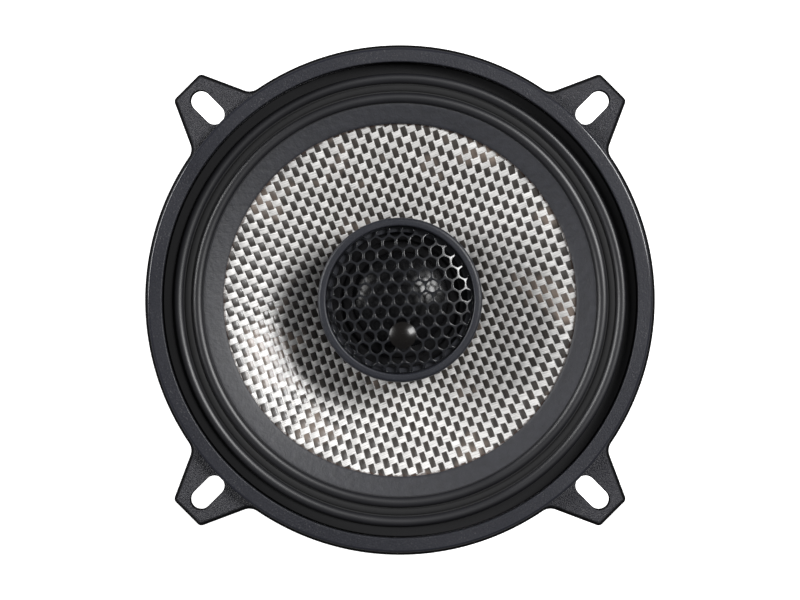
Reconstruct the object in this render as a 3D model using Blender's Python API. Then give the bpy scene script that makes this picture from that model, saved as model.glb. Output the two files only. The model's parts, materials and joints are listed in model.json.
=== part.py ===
"""Coaxial car speaker of the 13 cm class.

A basket with four slotted ears carries a woven cone on a double-roll surround, and a dome
tweeter behind a hexagonal mesh stands on a post through the middle of the magnet.
The speaker lies on its magnet: +Z points out of the front, and the origin is the centre of
the rear face.
"""

import math

import bmesh
import bpy
from mathutils import Vector
from mathutils.geometry import delaunay_2d_cdt

GAP = 0.0003  # between two pieces that touch or are glued
MERGE = 0.00001

# Facets round each size of turned piece
ROUND_LARGE = 40
ROUND_MEDIUM = 32
ROUND_SMALL = 20
ROUND_TINY = 10

# Magnet system
MOTOR_EDGE = 0.0008  # bevel of the yoke and the magnet
YOKE_RADIUS = 0.035
YOKE_THICKNESS = 0.005
MAGNET_RADIUS = 0.038
MAGNET_THICKNESS = 0.0107
MAGNET_BORE = 0.018
PLATE_RADIUS = 0.035
PLATE_THICKNESS = 0.0045
POLE_BORE = 0.0032
NUT_POCKET_RADIUS = 0.0068
NUT_POCKET_DEPTH = 0.0066
WIRE_GROOVE_WIDTH = 0.0032
WIRE_GROOVE_DEPTH = 0.0021

# Voice coil
FORMER_RADIUS = 0.0123  # inside
FORMER_WALL = 0.00025
WINDING_BUILD = 0.00045
WINDING_HEIGHT = 0.010
COIL_CLEARANCE = 0.0003
STROKE = 0.004  # each way

# Basket
FRAME_RADIUS = 0.0665
MOUNTING_DEPTH = 0.050  # rear face of the magnet to the flange's rear face
FLANGE_THICKNESS = 0.004
FLANGE_WIDTH = 0.0046
FLANGE_EDGE = 0.0011  # rounding of the flange's front edge
SEAT_DROP = 0.0025  # the surround's seat below the flange's front
SEAT_WIDTH = 0.0059
SEAT_THICKNESS = 0.0020
CUP_RADIUS = 0.0376
CUP_WALL = 0.0022
BASE_THICKNESS = 0.002
BASE_HOLE = 0.017
LEDGE_HEIGHT = 0.0095  # spider's seat above the basket's base
LEDGE_WIDTH = 0.0042
LEG_WIDTH = 0.0145
LEG_FOOT = 0.0013  # how far the legs' outer face stands inside the flange
RIB_WIDTH = 0.003
RIB_HEIGHT = 0.0022
RIB_SETBACK = 0.001  # rib's head inside the leg's outer edge
RIB_FOOT_DROP = 0.002  # how far the rib runs below the ledge
LEG_RIM = 0.0014  # depth of the ring that joins the legs under the flange
CUTTER_REACH = 0.01  # how far a cutter stands out of what it cuts
WINDOW_START = 0.001  # gap between the cup and the windows
WINDOW_RIM = 0.0011  # of the leg ring that stays outside the windows
WINDOW_DEPTH = 0.006  # from the ledge down to the windows' lower edge
WINDOW_STEP = 0.0001
BASE_CORNER = 0.001  # bevel between the cup and its base
LEDGE_SUPPORT = 0.0030  # height of the slope under the ledge
LEDGE_LIP = 0.0016
LEDGE_RISE = 0.0012  # wall round the spider's rim
LEDGE_SLOPE = 0.0006

# Ears
EAR_COUNT = 4
EAR_FIRST = math.radians(45)
EAR_LENGTH = 0.0121  # from the rim to the flat outer end
EAR_END_HALF = 0.0049
EAR_FLARE = math.radians(24.4)
EAR_CORNER = 0.0014
EAR_ROOT = 0.0036
SLOT_OFFSET = 0.0043  # from the rim to the slot's middle
SLOT_WIDTH = 0.0052
SLOT_LENGTH = 0.0103

# Trim ring and foam seal
TRIM_HEIGHT = 0.0025
TRIM_EDGE = 0.0008
TRIM_OVERLAP = 0.0001  # over the edge of the flange's bore
TRIM_SETBACK = 0.001  # inside the flange's edge
SEAL_THICKNESS = 0.0012
SEAL_SETBACK = 0.0004
SEAL_INNER_SETBACK = 0.0003

# Surround, from its outer lip inwards
SURROUND_LIP = 0.0025
SURROUND_THICKNESS = 0.0005
ROLL_HALF = 0.00135
OUTER_ROLL_HEIGHT = 0.0019
INNER_ROLL_HEIGHT = 0.0017
RIDGE_HALF = 0.00085
RIDGE_HEIGHT = 0.0006
ROLL_FLAT = 0.0003
GLUE_LIP = 0.0050  # the lip on the cone

# Cone and spider
CONE_THICKNESS = 0.0007
CONE_COLLAR = 0.001
CONE_NECK_ABOVE_SPIDER = 0.0030
CONE_CURVE = 0.35  # 0 is a straight cone, more is flatter towards the rim
CONE_DROP = 0.0004  # rim of the cone below the surround's seat
FORMER_ABOVE_NECK = 0.0013
DUST_RING_THICKNESS = 0.0006
DUST_CLEARANCE = 0.0011  # from the ring to the post
DUST_LAP = 0.0005
SPIDER_THICKNESS = 0.0004
SPIDER_WAVES = 4
SPIDER_WAVE_HEIGHT = 0.0009
SPIDER_COLLAR = 0.0015
SPIDER_WAVE_SETBACK = 0.0002  # inside the ledge
SPIDER_FLAT = 0.0018  # between the collar and the first wave

# Post
POST_RADIUS = 0.0045
STUD_RADIUS = 0.0029
POST_BORE = 0.0015
POST_HEAD_RADIUS = 0.007
POST_HEAD_HEIGHT = 0.0013
NUT_HALF_FLATS = 0.005
NUT_HEIGHT = 0.0030
WASHER_RADIUS = 0.0062
WASHER_THICKNESS = 0.0008
STUD_END = 0.0019  # above the rear face

# Tweeter, worked outwards from its coil
TWEETER_COIL_RADIUS = 0.0123  # inside of its former
TWEETER_FORMER_WALL = 0.00015
TWEETER_COIL_BUILD = 0.0003
TWEETER_COIL_HEIGHT = 0.0020
TWEETER_CUP_WALL = 0.0030
TWEETER_CUP_BASE = 0.0017
TWEETER_MAGNET_HEIGHT = 0.0027
TWEETER_MAGNET_SETBACK = 0.0006  # inside its top plate
TWEETER_FORMER_PLAY = 0.0001  # above the top plate's underside
TWEETER_PLATE_HEIGHT = 0.0022
TWEETER_WIRE_SPACE = 0.0026
HOUSING_WALL = 0.00175
HOUSING_FLOOR = 0.0013
HOUSING_STEP = 0.0017  # wire room between the floor and the cup
HOUSING_TAPER = 0.0032
HOUSING_HOLE_PLAY = 0.0005  # round the post's bore
CUP_SUPPORT = 0.0024  # width of the floor under the cup's edge
CHANNEL_WALL = 0.0006
CHANNEL_FLOOR = 0.0002
WIRE_CHANNEL_HALF = 0.0016
BEZEL_OVERHANG = 0.0006
BEZEL_HEIGHT = 0.0055
BEZEL_LIP = 0.0021  # face width of the bezel
BEZEL_SHELF_WIDTH = 0.0016
BEZEL_SHELF_HEIGHT = 0.0008
BEZEL_EDGE = 0.0010
GRILLE_INSET = 0.0024  # the grille's rim below the bezel's face
DOME_HEIGHT = 0.0036
DOME_THICKNESS = 0.0003
SUSPENSION_THICKNESS = 0.0003
SUSPENSION_ROLL = 0.0010
SUSPENSION_FLAT = 0.0002  # glued round the dome
CLAMP_HEIGHT = 0.0011
PAD_THICKNESS = 0.0007

# Grille and badge
GRILLE_THICKNESS = 0.0005
GRILLE_DOME = 0.0018
GRILLE_RIM = 0.0008
HEX_PITCH = 0.00345
HEX_WEB = 0.0007
HEX_TURN = math.radians(4)
BADGE_RADIUS = 0.00346
BADGE_THICKNESS = 0.0008
BADGE_DOME = 0.0004
BADGE_X = 0.0007
BADGE_Y = -0.0091

# Terminal board, on the basket's -Y side
BOSS_HALF_WIDTH = 0.0128
BOSS_DEPTH = 0.0014  # the boss's face beyond the cup
BOSS_LOW = 0.0012  # above the basket's base
BOSS_TOP = 0.0008  # below the ledge
BOSS_LAP = 0.0005  # into the cup's wall
BOARD_HALF_WIDTH = 0.014
BOARD_THICKNESS = 0.0016
BOARD_BASE = 0.0009  # above the basket's base
BOARD_HEIGHT = 0.019
BOARD_SCREW_X = 0.0106
BOARD_SCREW_HEIGHT = 0.0049
TERMINAL_X = 0.0075
TERMINAL_HEIGHT = 0.0137
BLADE_LENGTH = 0.010
BLADE_THICKNESS = 0.0008
TERMINAL_FOOT = 0.0065
POSITIVE_WIDTH = 0.0063
NEGATIVE_WIDTH = 0.0048
CAPACITOR_RADIUS = 0.0040
CAPACITOR_LENGTH = 0.015
CAPACITOR_EDGE = 0.0007
CAPACITOR_LIFT = 0.0012  # above the board's lower edge
SOLDER_REACH = 0.0024  # from a terminal's middle to a lead soldered beside its rivet
SOLDER_SINK = 0.0003  # of a lead in its solder
LEAD_RADIUS = 0.00035

# Rivets and wires
RIVET_COUNT = 4
RIVET_CIRCLE = 0.026
RIVET_HEAD = 0.0026
RIVET_SHANK = 0.0014
RIVET_DEPTH = 0.0032
SMALL_SHANK = 0.0010
SMALL_HEAD = 0.0019
SCREW_HEAD_HEIGHT = 0.0012
RIVET_HEAD_HEIGHT = 0.0012
TERMINAL_RIVET_HEIGHT = 0.0008
LOCK_HOLE_RADIUS = 0.0008
DRILL_REACH = 0.001  # how far a drill stands out of each face
BOSS_HOLE_DEPTH = 0.0030
SCREW_GRIP = 0.0024  # of a board screw in the boss
TINSEL_RADIUS = 0.00045
WIRE_RADIUS = 0.0004
WIRE_OFFSET = 0.00065  # each wire from the middle of the post's bore
WIRE_STEP = 0.003  # between points along a wire
WIRE_GROOVE_PLAY = 0.0001  # wires above the middle of their groove

# Levels up the stack, each from the one below
MAGNET_Z = YOKE_THICKNESS + GAP
PLATE_Z = MAGNET_Z + MAGNET_THICKNESS + GAP
PLATE_TOP = PLATE_Z + PLATE_THICKNESS
BASKET_Z = PLATE_TOP + GAP
LEDGE_Z = BASKET_Z + LEDGE_HEIGHT
SPIDER_Z = LEDGE_Z + GAP
FLANGE_TOP = MOUNTING_DEPTH + FLANGE_THICKNESS
SEAT_Z = FLANGE_TOP - SEAT_DROP
NECK_Z = SPIDER_Z + SPIDER_WAVE_HEIGHT + CONE_NECK_ABOVE_SPIDER
FORMER_TOP = NECK_Z + FORMER_ABOVE_NECK
DUST_Z = FORMER_TOP + GAP
POST_HEAD_Z = DUST_Z + DUST_RING_THICKNESS + STROKE + GAP
HOUSING_Z = POST_HEAD_Z + POST_HEAD_HEIGHT + GAP
TWEETER_CUP_Z = HOUSING_Z + HOUSING_FLOOR + HOUSING_STEP + GAP
TWEETER_MAGNET_Z = TWEETER_CUP_Z + TWEETER_CUP_BASE + GAP
TWEETER_PLATE_Z = TWEETER_MAGNET_Z + TWEETER_MAGNET_HEIGHT + GAP
TWEETER_CUP_TOP = TWEETER_PLATE_Z + TWEETER_PLATE_HEIGHT
SUSPENSION_Z = TWEETER_CUP_TOP + GAP
CLAMP_Z = SUSPENSION_Z + SUSPENSION_THICKNESS + GAP
HOUSING_TOP = CLAMP_Z + GAP
BEZEL_Z = HOUSING_TOP + GAP
BEZEL_TOP = BEZEL_Z + BEZEL_HEIGHT
GRILLE_Z = BEZEL_TOP - GRILLE_INSET

# Radii, each from the one inside it
POLE_RADIUS = FORMER_RADIUS - COIL_CLEARANCE
FORMER_OUTER = FORMER_RADIUS + FORMER_WALL
WINDING_RADIUS = FORMER_OUTER + GAP
PLATE_BORE = WINDING_RADIUS + WINDING_BUILD + COIL_CLEARANCE
NECK_RADIUS = FORMER_OUTER + GAP
EAR_REACH = FRAME_RADIUS + EAR_LENGTH
SLOT_CENTRE = FRAME_RADIUS + SLOT_OFFSET
SEAT_OUTER = FRAME_RADIUS - FLANGE_WIDTH
SEAT_INNER = SEAT_OUTER - SEAT_WIDTH
LEDGE_OUTER = CUP_RADIUS - CUP_WALL + LEDGE_SLOPE
SURROUND_OUTER = SEAT_OUTER - GAP
OUTER_ROLL_CENTRE = SURROUND_OUTER - SURROUND_LIP - ROLL_HALF
RIDGE_CENTRE = OUTER_ROLL_CENTRE - ROLL_HALF - ROLL_FLAT - RIDGE_HALF
INNER_ROLL_CENTRE = RIDGE_CENTRE - RIDGE_HALF - ROLL_FLAT - ROLL_HALF
GLUE_LIP_OUTER = INNER_ROLL_CENTRE - ROLL_HALF - ROLL_FLAT
GLUE_LIP_INNER = GLUE_LIP_OUTER - GLUE_LIP
CONE_RADIUS = GLUE_LIP_OUTER - ROLL_FLAT
CONE_RIM_Z = SEAT_Z - CONE_DROP
TWEETER_PLATE_RADIUS = TWEETER_COIL_RADIUS - GAP
TWEETER_COIL_INNER = TWEETER_COIL_RADIUS + TWEETER_FORMER_WALL + GAP
TWEETER_CUP_INNER = TWEETER_COIL_INNER + TWEETER_COIL_BUILD + GAP
TWEETER_CUP_OUTER = TWEETER_CUP_INNER + TWEETER_CUP_WALL
HOUSING_INNER = TWEETER_CUP_OUTER + TWEETER_WIRE_SPACE
HOUSING_RADIUS = HOUSING_INNER + HOUSING_WALL
BEZEL_RADIUS = HOUSING_RADIUS + BEZEL_OVERHANG
BEZEL_INNER = BEZEL_RADIUS - BEZEL_LIP
GRILLE_RADIUS = BEZEL_INNER - GAP
BOSS_FACE_Y = -(CUP_RADIUS + BOSS_DEPTH)
BOARD_Y = BOSS_FACE_Y - GAP
BOARD_FACE_Y = BOARD_Y - BOARD_THICKNESS
TERMINAL_Y = BOARD_FACE_Y - GAP
BOARD_Z = BASKET_Z + BOARD_BASE
TERMINAL_Z = BOARD_Z + TERMINAL_HEIGHT
CAPACITOR_Y = TERMINAL_Y - CAPACITOR_RADIUS
CAPACITOR_Z = BOARD_Z + CAPACITOR_RADIUS + CAPACITOR_LIFT


# ---------------------------------------------------------------- tools

def clear_scene():
    for obj in list(bpy.data.objects):
        bpy.data.objects.remove(obj, do_unlink=True)


def material(name, colour, roughness, metallic=0.0):
    """A plain Principled material of one colour."""
    mat = bpy.data.materials.new(name)
    mat.use_nodes = True
    shader = mat.node_tree.nodes["Principled BSDF"]
    shader.inputs["Base Color"].default_value = (*colour, 1.0)
    shader.inputs["Roughness"].default_value = roughness
    shader.inputs["Metallic"].default_value = metallic
    return mat


FINISHES = {
    "black_paint": ((0.012, 0.012, 0.013), 0.62, 0.0),
    "dark_rubber": ((0.035, 0.036, 0.038), 0.70, 0.0),
    "foam": ((0.02, 0.02, 0.02), 0.95, 0.0),
    "woven_glass": ((0.55, 0.54, 0.52), 0.38, 0.0),
    "felt": ((0.03, 0.03, 0.03), 0.95, 0.0),
    "polyimide": ((0.45, 0.22, 0.05), 0.40, 0.0),
    "copper": ((0.72, 0.36, 0.20), 0.35, 1.0),
    "spider_cloth": ((0.60, 0.48, 0.22), 0.85, 0.0),
    "zinc_steel": ((0.62, 0.62, 0.60), 0.35, 1.0),
    "ferrite": ((0.06, 0.06, 0.065), 0.60, 0.0),
    "board": ((0.16, 0.09, 0.05), 0.60, 0.0),
    "tin": ((0.72, 0.72, 0.70), 0.30, 1.0),
    "black_plastic": ((0.045, 0.047, 0.052), 0.50, 0.0),
    "mesh_steel": ((0.10, 0.10, 0.11), 0.35, 0.6),
    "gloss_black": ((0.01, 0.01, 0.012), 0.10, 0.0),
    "dome_cloth": ((0.05, 0.05, 0.055), 0.35, 0.0),
    "blue_sleeve": ((0.03, 0.08, 0.25), 0.40, 0.0),
    "red_insulation": ((0.45, 0.03, 0.02), 0.45, 0.0),
    "dark_insulation": ((0.02, 0.02, 0.02), 0.45, 0.0),
}


def finished(obj, finish):
    """Gives an object a material of its own, after one of the finishes."""
    colour, roughness, metallic = FINISHES[finish]
    obj.data.materials.append(material(f"{obj.name}_{finish}", colour, roughness, metallic))
    return obj


def object_from(bm, name, place=(0, 0, 0)):
    """Closes a bmesh into a named object with its faces turned outwards."""
    bmesh.ops.remove_doubles(bm, verts=bm.verts, dist=MERGE)
    bmesh.ops.recalc_face_normals(bm, faces=bm.faces)
    mesh = bpy.data.meshes.new(name)
    bm.to_mesh(mesh)
    bm.free()
    mesh.shade_smooth()
    mesh.set_sharp_from_angle(angle=math.radians(35))
    obj = bpy.data.objects.new(name, mesh)
    obj.location = place
    bpy.context.scene.collection.objects.link(obj)
    return obj


def turned(name, profile, segments, z=0.0, centre=(0.0, 0.0)):
    """Turns a closed profile of (radius, height) points about an upright axis."""
    bm = bmesh.new()
    rings = []
    for radius, height in profile:
        if radius < MERGE:
            rings.append([bm.verts.new((0, 0, height))] * segments)
            continue
        angles = (2 * math.pi * i / segments for i in range(segments))
        rings.append([bm.verts.new((radius * math.cos(a), radius * math.sin(a), height)) for a in angles])
    for lower, upper in zip(rings, rings[1:] + rings[:1]):
        for i in range(segments):
            j = (i + 1) % segments
            corners = list(dict.fromkeys((lower[i], lower[j], upper[j], upper[i])))
            if len(corners) > 2:
                bm.faces.new(corners)
    return object_from(bm, name, (centre[0], centre[1], z))


def washer_profile(inner, outer, low, high):
    return [(inner, low), (outer, low), (outer, high), (inner, high)]


def disc_profile(radius, low, high):
    return [(0, low), (radius, low), (radius, high), (0, high)]


def lofted(name, loops, place=(0, 0, 0)):
    """Joins outlines with the same number of points, one above the other, and caps the ends."""
    bm = bmesh.new()
    rings = [[bm.verts.new(p) for p in loop] for loop in loops]
    count = len(rings[0])
    for lower, upper in zip(rings, rings[1:]):
        for i in range(count):
            j = (i + 1) % count
            bm.faces.new((lower[i], lower[j], upper[j], upper[i]))
    bm.faces.new(rings[0])
    bm.faces.new(rings[-1])
    return object_from(bm, name, place)


def prism(name, outline, low, high):
    """A flat outline of (x, y) points between two heights."""
    return lofted(name, [[(x, y, z) for x, y in outline] for z in (low, high)])


def block(name, low, high):
    (x0, y0, z0), (x1, y1, z1) = low, high
    return prism(name, [(x0, y0), (x1, y0), (x1, y1), (x0, y1)], z0, z1)


def as_guide(obj):
    obj.hide_render = True
    obj.display_type = "WIRE"
    return obj


def combine(target, tool, operation):
    """Cuts a tool out of a piece, or joins it to it."""
    change = target.modifiers.new(f"{operation.lower()}_{tool.name}", "BOOLEAN")
    change.operation = operation
    change.solver = "EXACT"
    change.object = as_guide(tool)


def cut(target, *tools):
    for tool in tools:
        combine(target, tool, "DIFFERENCE")


def smooth_route(points, step):
    """Points every step along a smooth curve through the given ones."""
    knots = [Vector(p) for p in points]
    knots = [2 * knots[0] - knots[1]] + knots + [2 * knots[-1] - knots[-2]]
    route = []
    for before, start, end, after in zip(knots, knots[1:], knots[2:], knots[3:]):
        pieces = max(1, round((end - start).length / step))
        for k in range(pieces):
            t = k / pieces
            route.append(0.5 * (2 * start + (end - before) * t
                         + (2 * before - 5 * start + 4 * end - after) * t ** 2
                         + (3 * start - before - 3 * end + after) * t ** 3))
    route.append(knots[-2])
    return route


def wire(name, points, radius, finish, step=WIRE_STEP):
    """A round wire with closed ends along a smooth route."""
    route = smooth_route(points, step)
    curve = bpy.data.curves.new(name, "CURVE")
    curve.dimensions = "3D"
    curve.bevel_depth = radius
    curve.bevel_resolution = 1
    curve.use_fill_caps = True
    spline = curve.splines.new("POLY")
    spline.points.add(len(route) - 1)
    for point, place in zip(spline.points, route):
        point.co = (*place, 1.0)
    obj = bpy.data.objects.new(name, curve)
    bpy.context.scene.collection.objects.link(obj)
    return finished(obj, finish)


def arc_points(centre, radius, start, end, count):
    """Points on an arc from one angle to another, both ends included."""
    angles = (start + (end - start) * i / (count - 1) for i in range(count))
    return [(centre[0] + radius * math.cos(a), centre[1] + radius * math.sin(a)) for a in angles]


def rotated(points, angle):
    c, s = math.cos(angle), math.sin(angle)
    return [(c * x - s * y, s * x + c * y) for x, y in points]


# ---------------------------------------------------------------- basket

def ear_side(inset):
    """One side of an ear, from the rim's edge to its outer corner, in the ear's own axes."""
    rim = FRAME_RADIUS - inset
    corner = EAR_CORNER - inset
    normal = Vector((math.sin(EAR_FLARE), math.cos(EAR_FLARE)))
    along = Vector((-math.cos(EAR_FLARE), math.sin(EAR_FLARE)))
    line = normal.dot(Vector((EAR_REACH, EAR_END_HALF)))
    off = line + EAR_ROOT
    root_centre = off * normal - math.sqrt((FRAME_RADIUS + EAR_ROOT) ** 2 - off ** 2) * along
    root = EAR_ROOT + inset
    to_rim = math.atan2(-root_centre.y, -root_centre.x)
    to_side = math.atan2(-normal.y, -normal.x)
    points = arc_points(root_centre, root, to_rim, to_side, 4)
    points[0] = tuple(root_centre * (rim / root_centre.length))
    end = EAR_REACH - inset
    drop = (line - inset - corner - normal.x * (end - corner)) / normal.y
    points += arc_points((end - corner, drop), corner, math.pi / 2 - EAR_FLARE, 0, 3)
    return points


def flange_outline(inset):
    """The flange with its ears, counter-clockwise, shrunk by the inset."""
    side = ear_side(inset)
    ear = [(x, -y) for x, y in side] + side[::-1]
    rim_angle = math.atan2(side[0][1], side[0][0])
    pitch = 2 * math.pi / EAR_COUNT
    rim = arc_points((0, 0), FRAME_RADIUS - inset, rim_angle, pitch - rim_angle, 9)[1:-1]
    outline = []
    for k in range(EAR_COUNT):
        outline += rotated(ear + rim, EAR_FIRST + k * pitch)
    return outline


def make_flange():
    """The flat flange and its ears, with rounded edges."""
    corner = 0.3 * FLANGE_EDGE
    levels = [
        (MOUNTING_DEPTH, corner),
        (MOUNTING_DEPTH + corner, 0),
        (FLANGE_TOP - FLANGE_EDGE, 0),
        (FLANGE_TOP - corner, corner),
        (FLANGE_TOP, FLANGE_EDGE),
    ]
    loops = [[(x, y, z) for x, y in flange_outline(inset)] for z, inset in levels]
    flange = lofted("flange_with_ears", loops)
    bore = disc_profile(SEAT_OUTER, MOUNTING_DEPTH - CUTTER_REACH, FLANGE_TOP + CUTTER_REACH)
    cut(flange, turned("flange_bore", bore, ROUND_LARGE))
    return flange


def basket_profile():
    """Base, cup, spider ledge, legs and surround seat in one turned shape."""
    inner = CUP_RADIUS - CUP_WALL
    ledge_inner = LEDGE_OUTER - LEDGE_WIDTH
    leg_outer = SEAT_OUTER - LEG_FOOT
    lap = SEAT_OUTER + 0.4 * FLANGE_WIDTH  # how far the seat reaches into the flange
    seat_low = SEAT_Z - SEAT_THICKNESS
    leg_low = LEDGE_Z - LEDGE_SLOPE
    step = BASE_CORNER
    return [
        (lap, SEAT_Z),
        (lap, MOUNTING_DEPTH + LEDGE_SLOPE),
        (leg_outer, MOUNTING_DEPTH + LEDGE_SLOPE),
        (leg_outer, MOUNTING_DEPTH - LEG_RIM),
        (CUP_RADIUS, leg_low),
        (CUP_RADIUS, BASKET_Z + step),
        (CUP_RADIUS - step, BASKET_Z),
        (BASE_HOLE, BASKET_Z),
        (BASE_HOLE, BASKET_Z + BASE_THICKNESS),
        (inner, BASKET_Z + BASE_THICKNESS),
        (inner, LEDGE_Z - LEDGE_SUPPORT),
        (ledge_inner, LEDGE_Z - LEDGE_LIP),
        (ledge_inner, LEDGE_Z),
        (LEDGE_OUTER, LEDGE_Z),
        (LEDGE_OUTER, LEDGE_Z + LEDGE_RISE),
        (LEDGE_OUTER + LEDGE_SLOPE, LEDGE_Z + LEDGE_RISE + LEDGE_SLOPE),
        (SEAT_INNER, seat_low),
        (SEAT_INNER, SEAT_Z),
    ]


def window_outline(inner, outer):
    """The gap between two legs, centred on +X."""
    half = LEG_WIDTH / 2
    pitch = math.pi / EAR_COUNT
    low = pitch - math.asin(half / inner)
    high = pitch - math.asin(half / outer)
    return arc_points((0, 0), inner, low, -low, 7) + arc_points((0, 0), outer, -high, high, 9)


def make_windows():
    """One cutter for the gap between each pair of legs."""
    near = CUP_RADIUS + WINDOW_START
    leg_outer = SEAT_OUTER - LEG_FOOT
    outline = window_outline(near, leg_outer + CUTTER_REACH)
    inner_outline = window_outline(near, leg_outer - WINDOW_RIM)
    pitch = 2 * math.pi / EAR_COUNT
    shoulder = MOUNTING_DEPTH - LEG_RIM - WINDOW_STEP
    top = SEAT_Z - SEAT_THICKNESS - WINDOW_STEP
    windows = []
    for k in range(EAR_COUNT):
        turn = EAR_FIRST + pitch / 2 + k * pitch
        lower = rotated(outline, turn)
        upper = rotated(inner_outline, turn)
        loops = [
            [(x, y, LEDGE_Z - WINDOW_DEPTH) for x, y in lower],
            [(x, y, shoulder) for x, y in lower],
            [(x, y, shoulder + WINDOW_STEP) for x, y in upper],
            [(x, y, top) for x, y in upper],
        ]
        windows.append(lofted(f"window_{k + 1}", loops))
    return windows


def make_rib(k):
    """A stiffening rib down the outside of one leg."""
    head = Vector((SEAT_OUTER - LEG_FOOT - RIB_SETBACK, MOUNTING_DEPTH - RIB_SETBACK))
    low = Vector((CUP_RADIUS - 0.8 * RIB_SETBACK, LEDGE_Z - RIB_SETBACK))
    slope = (head - low).normalized()
    out = Vector((slope.y, -slope.x))
    foot = low - slope * RIB_FOOT_DROP
    side = [foot + out * RIB_HEIGHT, head + out * RIB_HEIGHT / 2 - slope * RIB_SETBACK,
            head - out * RIB_SETBACK, foot - out * 0.4 * RIB_SETBACK]
    half = RIB_WIDTH / 2
    angle = EAR_FIRST + k * 2 * math.pi / EAR_COUNT
    loops = []
    for across in (-half, half):
        places = rotated([(p.x, across) for p in side], angle)
        loops.append([(x, y, p.y) for (x, y), p in zip(places, side)])
    return lofted(f"leg_rib_{k + 1}", loops)


def slot_outline(angle):
    half = SLOT_WIDTH / 2
    straight = SLOT_LENGTH / 2 - half
    outer = arc_points((SLOT_CENTRE + straight, 0), half, -math.pi / 2, math.pi / 2, 7)
    inner = arc_points((SLOT_CENTRE - straight, 0), half, math.pi / 2, 3 * math.pi / 2, 7)
    return rotated(outer + inner, angle)


def rivet_places():
    turns = (EAR_FIRST + 2 * math.pi * k / RIVET_COUNT for k in range(RIVET_COUNT))
    return [(RIVET_CIRCLE * math.cos(a), RIVET_CIRCLE * math.sin(a)) for a in turns]


def cross_drill(name, x, z, radius, near, far):
    """A drill along Y, from one depth to another."""
    profile = disc_profile(radius, min(near, far), max(near, far))
    drill = turned(name, profile, ROUND_TINY)
    drill.rotation_euler = (-math.pi / 2, 0, 0)
    drill.location = (x, 0, z)
    return drill


def make_basket():
    basket = turned("basket", basket_profile(), ROUND_LARGE)
    combine(basket, make_flange(), "UNION")
    boss_low = (-BOSS_HALF_WIDTH, BOSS_FACE_Y, BASKET_Z + BOSS_LOW)
    boss_high = (BOSS_HALF_WIDTH, -(CUP_RADIUS - CUP_WALL + BOSS_LAP), LEDGE_Z - BOSS_TOP)
    combine(basket, block("terminal_boss", boss_low, boss_high), "UNION")
    cut(basket, *make_windows())
    for k in range(EAR_COUNT):
        combine(basket, make_rib(k), "UNION")
        outline = slot_outline(EAR_FIRST + 2 * math.pi * k / EAR_COUNT)
        cut(basket, prism(f"slot_{k + 1}", outline, MOUNTING_DEPTH - CUTTER_REACH,
                          FLANGE_TOP + CUTTER_REACH))
    for k, place in enumerate(rivet_places()):
        hole = disc_profile(RIVET_SHANK + GAP, BASKET_Z - DRILL_REACH,
                            BASKET_Z + BASE_THICKNESS + DRILL_REACH)
        cut(basket, turned(f"basket_rivet_hole_{k + 1}", hole, ROUND_TINY, centre=place))
    for side, x in (("left", -BOARD_SCREW_X), ("right", BOARD_SCREW_X)):
        cut(basket, cross_drill(f"boss_hole_{side}", x, BOARD_Z + BOARD_SCREW_HEIGHT,
                                SMALL_SHANK + GAP, BOSS_FACE_Y - DRILL_REACH,
                                BOSS_FACE_Y + BOSS_HOLE_DEPTH))
    return finished(basket, "black_paint")


def make_trim_ring():
    low = FLANGE_TOP + GAP
    high = low + TRIM_HEIGHT
    outer = FRAME_RADIUS - TRIM_SETBACK
    edge = TRIM_EDGE
    inner = SEAT_OUTER - TRIM_OVERLAP
    profile = [(inner, low), (outer, low), (outer, high - edge), (outer - 0.3 * edge, high - 0.3 * edge),
               (outer - edge, high), (inner + 0.4 * edge, high), (inner, high - 0.4 * edge)]
    finished(turned("trim_ring", profile, ROUND_LARGE), "dark_rubber")


def make_mounting_gasket():
    high = MOUNTING_DEPTH - GAP
    inner = SEAT_OUTER + SEAL_INNER_SETBACK
    profile = washer_profile(inner, FRAME_RADIUS - SEAL_SETBACK, high - SEAL_THICKNESS, high)
    finished(turned("mounting_gasket", profile, ROUND_LARGE), "foam")


# ---------------------------------------------------------------- cone and its hangings

def cone_height(radius):
    """Height of the cone's front face above the middle of the speaker's rear, at a radius."""
    t = (radius - NECK_RADIUS) / (CONE_RADIUS - NECK_RADIUS)
    low = NECK_Z + CONE_COLLAR
    return low + (CONE_RIM_Z - low) * t * (1 + CONE_CURVE - CONE_CURVE * t)


def make_cone():
    steps = 5
    radii = [NECK_RADIUS + (CONE_RADIUS - NECK_RADIUS) * i / steps for i in range(steps + 1)]
    front = [(r, cone_height(r) - NECK_Z) for r in radii]
    back_radii = [CONE_RADIUS] + radii[-2:0:-1] + [NECK_RADIUS + CONE_THICKNESS]
    back = [(r, cone_height(r) - NECK_Z - CONE_THICKNESS) for r in back_radii]
    profile = [(NECK_RADIUS, 0)] + front + back + [(NECK_RADIUS + CONE_THICKNESS, 0)]
    finished(turned("cone", profile, ROUND_LARGE, NECK_Z), "woven_glass")


def hump(x, centre, half, height):
    """A raised-cosine roll."""
    if abs(x - centre) >= half:
        return 0.0
    return height * 0.5 * (1 + math.cos(math.pi * (x - centre) / half))


def surround_height(radius):
    """Height of the surround's underside."""
    lip_end = cone_height(GLUE_LIP_OUTER) + GAP
    if radius <= GLUE_LIP_OUTER:
        return cone_height(radius) + GAP
    t = min(1.0, (radius - GLUE_LIP_OUTER) / (OUTER_ROLL_CENTRE + ROLL_HALF - GLUE_LIP_OUTER))
    level = lip_end + (SEAT_Z + GAP - lip_end) * t
    return (level + hump(radius, INNER_ROLL_CENTRE, ROLL_HALF, INNER_ROLL_HEIGHT)
            + hump(radius, RIDGE_CENTRE, RIDGE_HALF, RIDGE_HEIGHT)
            + hump(radius, OUTER_ROLL_CENTRE, ROLL_HALF, OUTER_ROLL_HEIGHT))


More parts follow.
